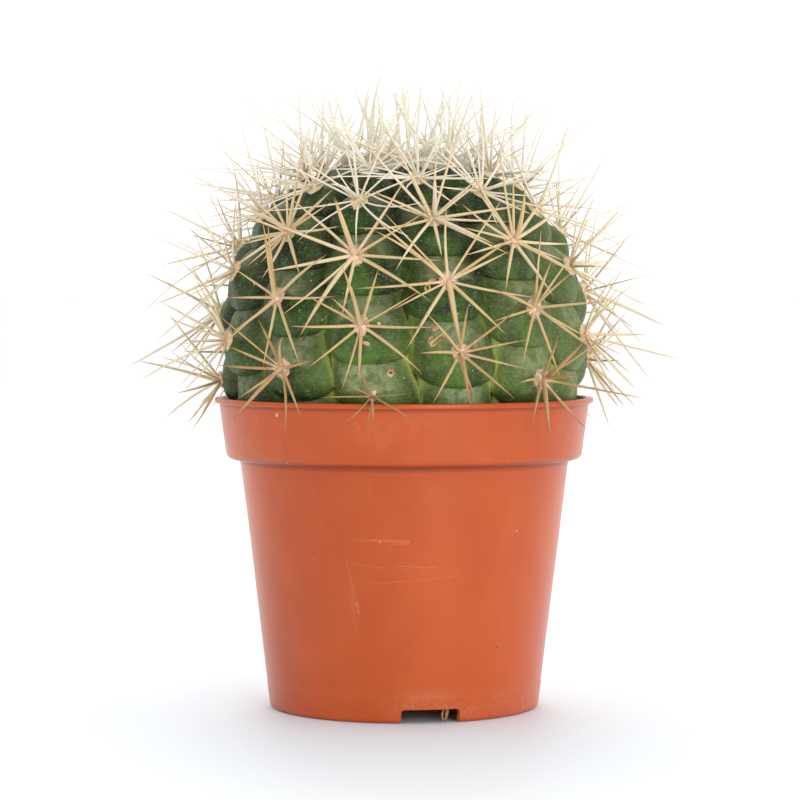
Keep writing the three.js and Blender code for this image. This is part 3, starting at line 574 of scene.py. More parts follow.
blots, pits = [skin.scattered(17, (0.07, 0.05), (0.72, 0.74), (mottle - 0.5) * 0.04)], []
for start_x, start_y, end_x, end_y, size, darkness in SCARS:
    start, end = (flat_points[np.argmin((seen_x - x) ** 2 + (seen_y - y) ** 2)]
                  for x, y in ((start_x, start_y), (end_x, end_y)))
    away = skin.near(start, end) + (mottle - 0.5) * 0.8
    blots.append(away.step(size, size * 0.75))
    pits.append(away.step(size * 0.4, size * 0.12) * float(darkness))
scar, pit = reduce(Wire.max, blots), reduce(Wire.max, pits)
cork = skin.paint(rgb(216, 194, 140), (rgb(164, 122, 76), mottle.step(0.4, 0.6)), (rgb(92, 60, 34), pit))
green = skin.paint(
    rgb(34, 52, 22),
    (rgb(78, 106, 42), clouds.step(0.36, 0.64)),
    (rgb(18, 30, 14), blotch.step(0.42, 0.62) * 0.38 + mottle.step(0.46, 0.66) * 0.2),
    (rgb(94, 118, 54), streaks.step(0.5, 0.72) * 0.36),
    (rgb(96, 126, 50), margin.step(0.1, 1.0) * clouds.step(0.3, 0.62) * (0.06 + 0.3 * old)),
    # painted highlight in the middles of the chins
    (rgb(88, 142, 46), painted_chin_highlight * 0.42),
    # grey bloom on the roofs, with a painted highlight where they face up
    (grey, roof_bloom_and_painted_highlight * (0.36 + 0.34 * old + 0.34 * clouds)),
    # painted shade: young skin near the top is darkened where the spines shade it, less so on the roofs
    (rgb(10, 19, 8), (1 - old) * (0.54 - 0.5 * roof_bloom_and_painted_highlight)),
    # painted shade on the left side and painted light on the right side, set by X, and old skin painted
    # lighter away from the left
    (rgb(18, 32, 20), to_right.step(-18, -50) * 0.36),
    (rgb(122, 138, 74), to_right.step(18, 50) * 0.3),
    (rgb(116, 138, 66), old.step(0.55, 0.95) * to_right.step(-45, -15) * 0.2),
    (rgb(184, 198, 100), grooved.step(0.08, 0.6) * (0.04 + 0.8 * old ** 3)),
    # painted shade: a dark line at the bottom of each groove, under the chins, and along the folds between
    # knobs
    (rgb(26, 34, 14), grooved.step(0.72, 0.95) * 0.8),
    (rgb(18, 32, 14), (1 - roofed) * folded.step(0.01, 0.7) * 0.6),
    (rgb(14, 22, 11), folded.step(0.35, 0.9) * (1 - grooved) * 0.85),
    (rgb(156, 168, 120), flecks.step(0.54, 0.78) * 0.24 + wrinkle.step(0.53, 0.7) * 0.32),
    (rgb(14, 24, 13), flecks.step(0.45, 0.26) * 0.34 + wrinkle.step(0.45, 0.28) * 0.38),
    (rgb(208, 214, 190), (specks * 0.75).max(dust)),
    (cork, scar),
)
skin_height = wrinkle * (0.32 + 0.6 * roofed) + pores * 0.12 + clouds * 0.6 + (scar - pit) * 0.9
gloss = 0.4 + 0.16 * roofed + 0.12 * mottle + 0.25 * scar
skin_finish = skin.wire(Base_Color=green, Roughness=gloss, Normal=skin.bump(skin_height, 0.34))
print("skin finish has", len(skin.tree.nodes), "nodes")

# %% Stem piece
carried = {"roof": roof, "fold": fold, "groove": groove, "side": side, "tip": height}
carried["old"] = smoothstep(45, 110, arc)
carried = {key: np.append(numbers, [0, 0]) for key, numbers in carried.items()}
stem_shape = capped(stem_points, [0, 0, outline(0)[1] - DEPTH * 0.5], [0, 0, line_z[-1]])
add_piece("stem_skin", stem_shape, skin_finish, ["stem"], carried)

# %% [markdown]
# ## Rods: one shape for spines, hairs and grit
# A spine is a thin rod that keeps its width for most of its length and then runs to a point. Its middle
# line bows a little. One function makes thousands of them at once, each with a few dozen faces.

# %% Rods


def rods(root, tip, bow, width, flatness, rings, sides, taper=2.6):
    """Closed rods from root to tip. At share t of the length, the middle line is moved by 4t(1-t) bow,
    and the half-width is width (1 - t^taper)^0.9, cut to its flatness one way. Gives the shape, and for
    each point its share t and its rod's number."""
    count = len(root)
    axis = unit(tip - root)
    helper = np.where(np.abs(axis[:, 2:]) < 0.9, [[0.0, 0.0, 1.0]], [[1.0, 0.0, 0.0]])
    one = unit(np.cross(helper, axis))
    two = np.cross(axis, one)
    t = np.linspace(0, 1, rings + 1)
    middle = root[:, None] + (tip - root)[:, None] * t[:, None] + bow[:, None] * (4 * t * (1 - t))[:, None]
    half = width[:, None] * (1 - t**taper) ** 0.9
    angle = np.arange(sides) * TAU / sides
    thin_way = (flatness[:, None] * np.sin(angle))[..., None]
    rim = one[:, None] * np.cos(angle)[:, None] + two[:, None] * thin_way
    ring = middle[:, :-1, None] + rim[:, None] * half[:, :-1, None, None]
    points = np.concatenate([ring.reshape(count, -1, 3), middle[:, -1:]], 1)
    share = np.append(np.repeat(t[:-1], sides), 1)
    shape = points.reshape(-1, 3), many(count, rings, sides)
    return shape, np.tile(share, count), np.repeat(np.arange(count), len(share))


sample = rods(np.zeros((1, 3)), np.ones((1, 3)), np.zeros((1, 3)), np.ones(1), np.ones(1), 6, 5)
print("a rod of 6 rings and 5 sides has", len(sample[0][1]), "faces")

# %% [markdown]
# ## Reading the needles of the solid model
# Each areole of the solid model carries its spray of three-sided needles. Near a needle's tip, every
# face leans away from the needle's axis by the same small angle. So the axis is the vector whose
# product with each of those faces' normals is the same, and it is found by least squares.

# %% Needles


def needles(node):
    """Tips and unit vectors towards the roots of a CAD node's needles, and each one's half-angle. A tip
    is a corner whose edges all leave it in nearly the same direction."""
    mesh = node.data
    mesh.calc_loop_triangles()
    points = np.empty(len(mesh.vertices) * 3, np.float32)
    mesh.vertices.foreach_get("co", points)
    corner = np.empty(len(mesh.loop_triangles) * 3, np.int32)
    mesh.loop_triangles.foreach_get("vertices", corner)
    points = points.reshape(-1, 3).astype(float) / MM
    place, same = np.unique(np.round(points, 3), axis=0, return_inverse=True)
    triangle = same.ravel()[corner.reshape(-1, 3)]
    a, b, c = (place[triangle[:, k]] for k in range(3))
    normal = unit(np.cross(b - a, c - a))
    ends = np.concatenate([triangle[:, [k, (k + turn) % 3]] for turn in (1, 2) for k in range(3)])
    way = unit(place[ends[:, 1]] - place[ends[:, 0]])
    total, number = np.zeros(place.shape), np.bincount(ends[:, 0], minlength=len(place))
    np.add.at(total, ends[:, 0], way)
    found = []
    for tip in np.flatnonzero(np.linalg.norm(total, axis=1) > 0.993 * number):
        sides = normal[(triangle == tip).any(1)]
        solved = np.linalg.lstsq(sides, -np.ones(len(sides)), rcond=None)[0]
        length = np.linalg.norm(solved)
        found.append([*place[tip], *(solved / length), math.asin(min(1, 1 / length))])
    found = np.array(found).reshape(-1, 7)
    return found[:, :3], found[:, 3:6], found[:, 6]


areole_numbers = np.arange(25, 80)
areole_nodes = [f"areole_{n}" for n in areole_numbers]
seat_place, seat_across, seat_up, seat_normal = seats(areole_numbers.astype(float))
spine_rows = []  # root, tip, radius and areole number
for k, n in enumerate(areole_numbers):
    tips, inward, half_angle = needles(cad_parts[areole_nodes[k]])
    raised = seat_place[k] + 0.8 * seat_normal[k]
    length = ((raised - tips) @ seat_normal[k]) / (inward @ seat_normal[k])
    length = np.where((length > 6) & (length < 40), length, 25)
    feet, thick = tips + inward * length[:, None], 2 * length * np.tan(half_angle)
    spine_rows.append(np.column_stack([feet, tips, thick, np.full(len(tips), n)]))
spine_rows = np.vstack(spine_rows)
print("needles read from the areoles:", len(spine_rows), "; thickest", round(spine_rows[:, 6].max(), 2))

# %% [markdown]
# ## Spines
# The solid model has about ten spines to an areole, and on twelve areoles in front they point as the
# real ones do. A table gives more spines that the photograph shows. Elsewhere than on those twelve,
# each of them takes the place of the nearest needle of its spray. The real plant also has a few thinner
# spines more, so each spray gets some in its widest gaps. Every spine is then a rod.

# %% Spines in the photograph
MEASURED = [45, 48, 50, 53, 58, 61, 63, 66, 71, 74, 76, 79]
USUAL = 29, 0  # the length and thickness that the table leaves out
SEEN = {  # areole: angle from +across and lift above the skin in degrees, length, and 1 for a thick one
    3: [(332, 80, 29, 1)],
    5: [(320, 64)],
    8: [(272, 39, 32, 1)],
    12: [(294, 33, 36, 1), (31, 66, 33, 1), (11, 48)],
    13: [(5, 64, 29, 1)],
    16: [(298, 29, 32, 1), (295, 32, 38)],
    17: [(34, 61)],
    21: [(95, 55)],
    22: [(229, 44, 41), (210, 71), (317, 68)],
    24: [(65, 75, 29, 1), (256, 39, 28), (25, 76, 22), (123, 58, 18)],
    25: [(154, 37), (301, 55, 31)],
    27: [(229, 62, 29, 1), (49, 51, 30, 1), (165, 62, 18), (52, 56, 20), (191, 37, 25), (216, 14, 13)],
    29: [(172, 60, 29, 1), (197, 46, 28), (104, 51, 30), (89, 70, 17), (308, 60, 19), (109, 40, 16)],
    30: [(258, 32, 37), (245, 81, 23), (79, 42, 23)],
    32: [(196, 14, 25), (206, 14, 36), (182, 14, 22), (154, 31, 13), (92, 62, 19), (100, 61, 27),
         (33, 51, 13), (4, 24, 14), (348, 14, 20), (284, 14, 32)],
    33: [(87, 55, 33)],
    34: [(345, 66, 29, 1), (263, 43, 26), (257, 69, 15)],
    35: [(45, 76, 29, 1), (222, 33, 27), (227, 24, 20), (221, 36, 36), (167, 69, 16), (238, 14, 17),
         (350, 14, 23), (71, 39, 16)],
    37: [(194, 14, 28), (97, 49, 14), (325, 19, 18), (243, 14, 30)],
    38: [(1, 42), (75, 59, 30)],
    39: [(95, 43, 37, 1), (118, 58, 30, 1)],
    40: [(175, 34, 33), (204, 14, 32), (246, 14), (286, 14), (314, 14, 36), (343, 14, 26), (139, 49, 14),
         (59, 36, 31)],
    42: [(14, 36, 29, 1), (210, 56), (290, 22, 34), (53, 50), (292, 25, 27), (248, 14, 25), (116, 14, 19),
         (233, 14, 17)],
    43: [(297, 76, 29, 1), (5, 56, 29, 1), (142, 28), (259, 19, 35), (89, 55, 32, 1), (105, 72, 27),
         (252, 41, 20), (90, 48, 16)],
    45: [(86, 39, 21), (27, 31, 21), (163, 15)],
    47: [(166, 30), (337, 61, 29, 1), (259, 31, 33), (304, 16, 28)],
    48: [(174, 32), (19, 14, 22), (222, 29, 16), (247, 14, 16), (263, 14, 13)],
    50: [(319, 22, 17)],
    51: [(9, 85, 29, 1), (283, 29, 36), (226, 21), (153, 27), (143, 49)],
    53: [(111, 29, 18)],
    55: [(128, 43, 29, 1), (135, 61, 29, 1), (119, 68), (194, 33, 30, 1), (168, 38, 30), (280, 22, 33),
         (85, 39, 17), (32, 73, 24)],
    56: [(64, 53), (167, 53), (343, 28, 30, 1), (259, 29, 32), (144, 74, 22), (252, 42, 19),
         (103, 53, 19)],
    58: [(137, 15, 30)],
    59: [(43, 45, 32, 1)],
    60: [(139, 32, 29, 1), (19, 32, 30), (7, 74), (80, 22), (260, 24, 35, 1)],
    64: [(126, 46), (146, 32, 29, 1), (38, 56, 29, 1), (23, 35), (290, 51, 33, 1), (216, 29), (220, 21)],
    68: [(120, 35), (132, 33, 30), (130, 47), (322, 63, 30), (212, 40), (207, 28, 29, 1)],
    69: [(46, 59, 29, 1), (254, 64, 29, 1), (360, 44), (320, 44), (338, 25)],
    73: [(18, 38, 28), (1, 30, 30, 1), (309, 47, 29, 1), (322, 34, 30, 1), (26, 34)],
    76: [(357, 50, 31)],
    77: [(27, 20), (147, 42, 29, 1), (142, 27, 28), (171, 25, 29, 1), (207, 53, 29, 1), (210, 37, 29, 1),
         (204, 26, 30), (204, 31, 28)],
}
print("spines in the table:", sum(len(spray) for spray in SEEN.values()))

# %% Spines of the areoles
REPLACED_WITHIN = math.cos(math.radians(70))
WIDEST_TIP, HIGHEST_TIP = 85, 199  # the solid model's reach


def thin_spine(place, across, up, normal, angle, lift, length, radius, n):
    """A table row for a spine that leaves the skin at an angle round the areole and a lift above it."""
    flat = across * math.cos(angle) + up * math.sin(angle)
    root = place + 0.9 * normal + 0.7 * flat
    return [*root, *(root + (flat * math.cos(lift) + normal * math.sin(lift)) * length), radius, n]


def clears_lip(row):
    """Whether a table row's spine stays over a millimetre off the pot's lip."""
    path = np.array(row[:3]) + np.subtract(row[3:6], row[:3]) * np.linspace(0, 1, 30)[:, None]
    return not ((path[:, 2] < 99.4) & (np.hypot(path[:, 0], path[:, 1]) < 61.2)).any()


rng = np.random.default_rng(11)
extra_rows, young_rows = [], []
for n, spray in SEEN.items():
    seat = [part[0] for part in seats(np.array([float(n)]))]
    for angle, lift, *given in spray:
        length, thick = *given, *USUAL[len(given):]
        row = thin_spine(*seat, math.radians(angle), math.radians(lift), length, 0.45 + 0.2 * thick, n)
        if clears_lip(row):
            (young_rows if n < 25 else extra_rows).append(row)
        else:
            print("left out at the lip:", n, angle)
taken = np.zeros(len(spine_rows), bool)
heading = unit(spine_rows[:, 3:6] - spine_rows[:, 0:3])
for row in extra_rows:
    if row[7] not in MEASURED:
        same = (heading @ unit(np.subtract(row[3:6], row[0:3]))) * (spine_rows[:, 7] == row[7]) * ~taken
        taken[np.argmax(same)] |= same.max() > REPLACED_WITHIN
spine_rows = spine_rows[~taken]
for k, n in enumerate(areole_numbers):
    own = np.array([row for row in [*spine_rows, *extra_rows] if row[7] == n])
    way = own[:, 3:6] - own[:, 0:3]
    angles = np.sort(np.arctan2(way @ seat_up[k], way @ seat_across[k]))
    facing = math.cos(azimuth_of(n))
    # The front gets more than the back, and young sprays there more than old ones.
    more = (1 if n < 45 else 3) if facing < -0.45 else 0 if n in SEEN and n > 45 else 1
    if facing > 0.2:
        more = 5 if n < 38 else 4 if n < 52 else 2 if n < 68 else 1
    for _ in range(more):
        gaps = np.diff(np.append(angles, angles[0] + TAU))
        widest = np.argmax(gaps * rng.uniform(0.7, 1, len(gaps)))
        angle = angles[widest] + gaps[widest] * rng.uniform(0.35, 0.65)
        angles = np.sort(np.append(angles, angle))
        low = facing > 0.2 or rng.random() < 0.5
        lift = math.radians(rng.uniform(*((10, 34) if low else (40, 76))))
        seat = seat_place[k], seat_across[k], seat_up[k], seat_normal[k]
        length, width = rng.uniform(*((24, 34) if n < 48 else (20, 31))), 0.44 + 0.12 * rng.random()
        row = thin_spine(*seat, angle, lift, length, width, n)
        if clears_lip(row) and np.hypot(*row[3:5]) < WIDEST_TIP and row[5] < HIGHEST_TIP:
            extra_rows.append(row)
all_rows = np.vstack([spine_rows, extra_rows])
print("spines read and kept:", len(spine_rows), "; added:", len(extra_rows))

# %% Spine mesh


def spine_mesh(rows, seed, taper=2.3):
    """The spines of table rows (root, tip, radius, areole number) as rods, with what their colour needs."""
    draw = np.random.default_rng(seed)
    root, tip, radius, number = rows[:, 0:3], rows[:, 3:6], rows[:, 6], rows[:, 7]
    length = np.linalg.norm(tip - root, axis=1)
    sideways = unit(np.cross(unit(tip - root), draw.normal(size=root.shape)))
    bend = draw.normal(0, 0.35, len(rows)) + draw.choice([0, 1.0, -1.0], len(rows), p=[0.84, 0.08, 0.08])
    bow = sideways * (bend * length / 25)[:, None]
    in_focus = np.isin(number, MEASURED)
    wide = np.where(in_focus, np.where(number < 60, 1.04, 0.94), 0.85) * radius
    wide = wide * draw.uniform(0.85, 1.12, len(rows))
    (points, faces), share, rod = rods(root, tip, bow, wide, np.where(radius > 0.7, 0.72, 0.88), 7, 5, taper)
    uneven = 0.03 * wobble(points, 3.5, seed)[:, None] * unit(points - (root + (tip - root) * 0.5)[rod])
    shape = points + uneven * (share < 0.95)[:, None], faces
    age = number * np.where(in_focus, 1, 0.69) / 80
    return shape, {"share": share, "number": age[rod], "tint": draw.random(len(rows))[rod]}


spine_shape, carried = spine_mesh(all_rows, 21)
print("spine mesh:", len(spine_shape[0]), "points")

# %% [markdown]
# ## Horn
# Old spines are tan with a brown tip, and the younger they are, the paler. Their feet are pale. Each is
# a little streaky and has a fine grain, so its gloss breaks up.

# %% Horn finish


def horn_finish(name, ages):
    """Spine horn: colours by age, where the oldest spines are 1, with a pale foot, a darker tip, pale
    streaks and a fine grain."""
    horn = Finish(name, Specular_IOR_Level=0.4)
    share, number, tint = horn.values("share", "number", "tint")
    streaks = horn.noise(2.2, 3)
    age = number + (tint - 0.5) * 0.16 + (streaks - 0.5) * 0.12
    tips = horn.ramp(age, (0.3, rgb(240, 230, 204)), (0.46, rgb(220, 184, 134)), (0.62, rgb(204, 160, 102)),
                     (0.98, rgb(150, 98, 62)))
    foot = horn.ramp(age, (0.35, rgb(246, 234, 206)), (0.6, rgb(250, 226, 194)), (0.98, rgb(246, 214, 182)))
    body = horn.paint(
        horn.ramp(age, *ages),
        (tips, share.step(0.55, 1.0) * 0.85),
        (foot, share.step(0.18, 0.03) * 0.95),
        (rgb(255, 246, 224), streaks.step(0.55, 0.8) * 0.25),
    )
    grain = horn.bump(horn.noise(0.35, 2), 0.05)
    return horn.wire(Base_Color=body, Roughness=0.42 + 0.2 * streaks, Normal=grain)


old_horn = horn_finish("straw_horn", [
    (0.3, rgb(248, 240, 224)), (0.46, rgb(243, 227, 199)), (0.68, rgb(221, 197, 149)),
    (0.86, rgb(208, 176, 121)), (0.98, rgb(186, 142, 96)),
])
add_piece("spines", spine_shape, old_horn, areole_nodes, carried)

# %% [markdown]
# ## Felt
# Spines stand in a pad of short felt: pinkish buff on grown areoles, creamy on young ones. A pad is a
# lumpy half ellipsoid set into the skin, and over a hundred fine hairs break up its outline.

# %% Felt pads
PAD_ACROSS, PAD_UP, PAD_RISE = 3.0, 3.6, 2.5
PAD_RINGS, PAD_SIDES, PAD_HAIRS = 7, 16, 150


def felt_pads(place, across, up, normal, size, seed):
    """Pads: spread cos(s)^0.8 and height sin(s) over s from 0 to a quarter turn, roughened by a wobble,
    with hairs that leave each pad at random places. Gives the shape, and each point's pad and kind."""
    draw = np.random.default_rng(seed)
    count = len(place)
    s = np.linspace(0, 1, PAD_RINGS + 1) * TAU / 4
    angle = np.arange(PAD_SIDES) * TAU / PAD_SIDES

    def on_pad(k, s, angle, stand=0.0):
        """Points of pads k at s and angle, and the directions that leave the pad there."""
        flat = across[k] * (np.cos(angle) * PAD_ACROSS)[..., None]
        flat = flat + up[k] * (np.sin(angle) * PAD_UP)[..., None]
        out = flat * (np.cos(s) ** 0.8)[..., None] + normal[k] * (np.sin(s) * PAD_RISE)[..., None]
        return place[k] + normal[k] * -0.5 + out * (size[k] * (1 + stand))[..., None], unit(out)

    k, row, col = np.meshgrid(np.arange(count), np.arange(PAD_RINGS), np.arange(PAD_SIDES), indexing="ij")
    body, leave = on_pad(k, s[row], angle[col])
    body += leave * (0.3 * wobble(body, 1.5, seed) + 0.12 * wobble(body, 0.7, seed + 1))[..., None]
    top, _ = on_pad(np.arange(count), np.full(count, TAU / 4), np.zeros(count))
    points = np.concatenate([body.reshape(count, -1, 3), top[:, None]], 1)

    k = np.repeat(np.arange(count), PAD_HAIRS)
    at, leave = on_pad(k, draw.uniform(0.05, 1.5, len(k)), draw.uniform(0, TAU, len(k)), -0.06)
    way = unit(leave + draw.normal(0, 0.45, at.shape))
    tip = at + way * (draw.uniform(0.7, 1.9, len(k)) * size[k])[:, None]
    bow = draw.normal(0, 0.16, at.shape)
    hair, _, rod = rods(at, tip, bow, draw.uniform(0.06, 0.12, len(k)), np.ones(len(k)), 3, 3)
    pad_of = np.concatenate([np.repeat(np.arange(count), points.shape[1]), k[rod]])
    kind = np.concatenate([np.zeros(count * points.shape[1]), 0.5 + 0.5 * draw.random(len(k))[rod]])
    pads = points.reshape(-1, 3), many(count, PAD_RINGS, PAD_SIDES)
    return joined(pads, hair), pad_of, kind


grown = smoothstep(17, 37, areole_numbers)
room = np.where(areole_numbers == 79, 0.55, np.where(areole_numbers > 76, 0.85, 1))  # over the pot's lip
pad_size = mix(0.76, 0.86, grown) * room
pad_shape, pad_of, kind = felt_pads(seat_place, seat_across, seat_up, seat_normal, pad_size, 31)
print("pads:", len(pad_size), "with", PAD_HAIRS, "hairs each")

# %% Felt finish
felt = Finish("buff_felt", Specular_IOR_Level=0.1, Sheen_Weight=0.35, Sheen_Roughness=0.5)
number, hairy = felt.values("number", "hairy")
lumps, fine = felt.noise(0.9, 3), felt.noise(0.3, 2)
body = felt.ramp(number + (lumps - 0.5) * 0.1, (0.3, rgb(254, 246, 224)), (0.45, rgb(254, 236, 198)),
                 (0.62, rgb(254, 228, 190)), (0.88, rgb(250, 220, 184)), (0.98, rgb(242, 212, 180)))
body = felt.paint(body, (rgb(214, 156, 112), fine.step(0.46, 0.3) * 0.35),
                  (rgb(252, 238, 214), hairy * 0.55 + fine.step(0.55, 0.75) * 0.3))
felt_finish = felt.wire(Base_Color=body, Roughness=0.82 + 0.12 * fine, Normal=felt.bump(fine + lumps, 0.15))
carried = {"number": areole_numbers[pad_of] / 80, "hairy": kind}
add_piece("areole_felt", pad_shape, felt_finish, areole_nodes, carried)

# %% [markdown]
# ## Crown
# New spines push up through a cushion of cream wool over the growing point. The cushion follows the
# stem's outline, heaped over each hidden areole, and runs out to a low uneven rim. Thousands of curly
# hairs stand out of it, and a ring of young spines lies low over the rim.

# %% Wool cushion
CUSHION_ARC, CUSHION_HEIGHT, RIM_HEIGHT, CUSHION_DEPTH = 23.4, 2.2, -0.7, 1.9
WOOL_SIDES, WOOL_HAIRS = 96, 3600
young_place = seats(np.arange(25.0))[0]


def cushion_height(arc, points):
    """Height of the wool over the outline: it falls with share^3, and is heaped over hidden areoles."""
    share = np.clip(arc / CUSHION_ARC, 0, 1)
    gap = np.linalg.norm(points[..., None, :] - young_place, axis=-1)
    heaps = np.exp(-((gap / 1.9) ** 2)).max(-1)
    return mix(CUSHION_HEIGHT, RIM_HEIGHT, share**3) - 0.5 + 0.8 * heaps * (1 - share**6)


def on_outline(arc, azimuth):
    """Points of the stem's outline, and the normals there."""
    radius, z, normal_out, normal_up = outline(arc)
    return around(azimuth, radius, z), around(azimuth, normal_out, normal_up)


def rim_share(azimuth):
    """How far out the cushion reaches at an azimuth, as a share of its largest arc length."""
    return 0.9 + 0.06 * wobble(20 * around(azimuth), 9, 7)


top_arc = np.linspace(0.3, CUSHION_ARC, 40)
grid_arc, grid_turn = np.meshgrid(top_arc, np.arange(WOOL_SIDES) * TAU / WOOL_SIDES, indexing="ij")
grid_arc = grid_arc * rim_share(grid_turn)
base, up_way = on_outline(grid_arc, grid_turn)
lift = cushion_height(grid_arc, base) + 0.3 * wobble(base, 2.2, 5) + 0.14 * wobble(base, 0.9, 6)
over, under = base + up_way * lift[..., None], (base - up_way * CUSHION_DEPTH)[::-4]
poles = [0, 0, over[0, :, 2].mean()], [0, 0, under[-1, :, 2].mean()]
cushion = capped(np.vstack([over, under]), *poles)
print("cushion:", len(cushion[0]), "points")

# %% Wool hairs and finish
draw = np.random.default_rng(41)
hair_arc, hair_turn = CUSHION_ARC * np.sqrt(draw.random(WOOL_HAIRS)), draw.uniform(0, TAU, WOOL_HAIRS)
hair_arc *= rim_share(hair_turn)
hair_root, hair_way = on_outline(hair_arc, hair_turn)
hair_root = hair_root + hair_way * (cushion_height(hair_arc, hair_root) - 0.2)[:, None]
hair_way = unit(hair_way + draw.normal(0, 0.75, hair_root.shape))
hair_tip = hair_root + hair_way * draw.uniform(1.2, 4.2, WOOL_HAIRS)[:, None]
curl, thick = draw.normal(0, 0.4, hair_root.shape), draw.uniform(0.05, 0.1, WOOL_HAIRS)
hair, _, rod = rods(hair_root, hair_tip, curl, thick, np.ones(WOOL_HAIRS), 4, 3)
carried = {"hairy": np.concatenate([np.zeros(len(cushion[0])), 0.5 + 0.5 * draw.random(WOOL_HAIRS)[rod]])}

wool = Finish("cream_wool", Specular_IOR_Level=0.1, Sheen_Weight=0.4, Sheen_Roughness=0.5)
lumps, fine = wool.noise(1.8, 3), wool.noise(0.4, 2)
body = wool.paint(
    rgb(208, 186, 146),
    (rgb(238, 230, 208), lumps.step(0.35, 0.6)),
    (rgb(250, 246, 234), wool.values("hairy")[0] * 0.7),
    (rgb(170, 136, 96), fine.step(0.42, 0.3) * 0.5),
)
wool_finish = wool.wire(Base_Color=body, Roughness=0.85 + 0.1 * fine, Normal=wool.bump(lumps + fine, 0.25))
add_piece("crown_wool", joined(cushion, hair), wool_finish, ["crown"], carried)

# %% Crown spines
ADDED, UPRIGHT = 64, 16  # thinner spines added, and how many of them stand up
tips, inward, half_angle = needles(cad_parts["crown"])
length = np.clip(0.52 / (2 * np.tan(half_angle)), 10, 32)  # back to where it is about half a mm thick
draw = np.random.default_rng(43)
kept = draw.random(len(tips)) < 0.3
root = tips + inward * length[:, None]
crown_rows = np.column_stack([root, tips, np.full(len(tips), 0.6), np.full(len(tips), 12)])
low = np.arange(ADDED) >= UPRIGHT


def either(kind, for_low, for_upright):
    """A draw for each added spine from its own one of two ranges."""
    return np.where(low, kind(*for_low, ADDED), kind(*for_upright, ADDED))


number = either(draw.integers, (4, 27), (5, 35)).astype(float)
place, across, up, normal = seats(number)
angle = draw.uniform(0, TAU, ADDED)
flat = across * np.cos(angle)[:, None] + up * np.sin(angle)[:, None]
lift = np.radians(either(draw.uniform, (8, 34), (20, 70)))
way = flat * np.cos(lift)[:, None] + normal * np.sin(lift)[:, None]
root = place + 0.8 * normal + 0.9 * flat
tip = root + way * either(draw.uniform, (14, 26), (24, 36))[:, None]
inside = (tip[:, 2] < 200) & (np.hypot(tip[:, 0], tip[:, 1]) < 80)
added = np.column_stack([root, tip, draw.uniform(0.48, 0.66, ADDED), number])[inside]
young_horn = horn_finish("ivory_horn", [
    (0.0, rgb(247, 242, 225)), (0.2, rgb(246, 240, 221)), (0.4, rgb(243, 234, 210)),
    (0.6, rgb(236, 222, 190)),
])
crown_shape, carried = spine_mesh(np.vstack([crown_rows[kept], added, young_rows]), 51, taper=3.2)
add_piece("crown_spines", crown_shape, young_horn, ["crown"], carried)
print("crown needles read:", len(tips), "; kept:", kept.sum(), "; thinner ones added:", inside.sum())

# %% [markdown]
# ## Pot
# A nursery pot is moulded in one piece from thin polypropylene: a tapered wall, a stepped collar, a
# small lip and a floor raised on the foot. One closed profile is turned round the axis. At the three
# drain notches the foot's edge is lifted, so the mould's round corners come by themselves, and the
# slots behind them are cut through the floor with a Boolean.

# %% Pot profile
FOOT, WALL, TAPER, FLOOR_UNDER, FLOOR_TOP = 42.7, 1.2, 0.122, 5.0, 6.4
LEDGE, COLLAR_EDGE, COLLAR_ROUND, LIP, POT_TOP = 78.8, 56.6, 2.3, 60.0, 98.2
FOOT_ROUND, MOULD_LINE, HOLE = 1.9, 0.12, 5.3


# Radii at a height: the wall's and the collar's outsides and insides, and the foot's inner face. Seen
# from the side, each is a straight line that leans outwards.


def wall_radius(z):
    return FOOT + TAPER * z


def wall_inside(z):
    return wall_radius(z) - WALL


def collar_radius(z):
    return COLLAR_EDGE + 0.135 * (z - LEDGE - COLLAR_ROUND)


def collar_inside(z):
    return collar_radius(z) - WALL


def inner_foot(z):
    return 39.83 + 0.455 * z


def bend(radius, z, size, start, stop, steps):
    """Points of a round corner about a centre, from one direction to another in degrees."""
    angle = np.radians(np.linspace(start, stop, steps + 1))
    return np.column_stack([radius + size * np.cos(angle), z + size * np.sin(angle)])


def straight(radius_of, start, stop, steps):
    """Points of a straight run between two heights, both ends left out."""
    z = np.linspace(start, stop, steps + 2)[1:-1]
    return np.column_stack([radius_of(z) + 0 * z, z])


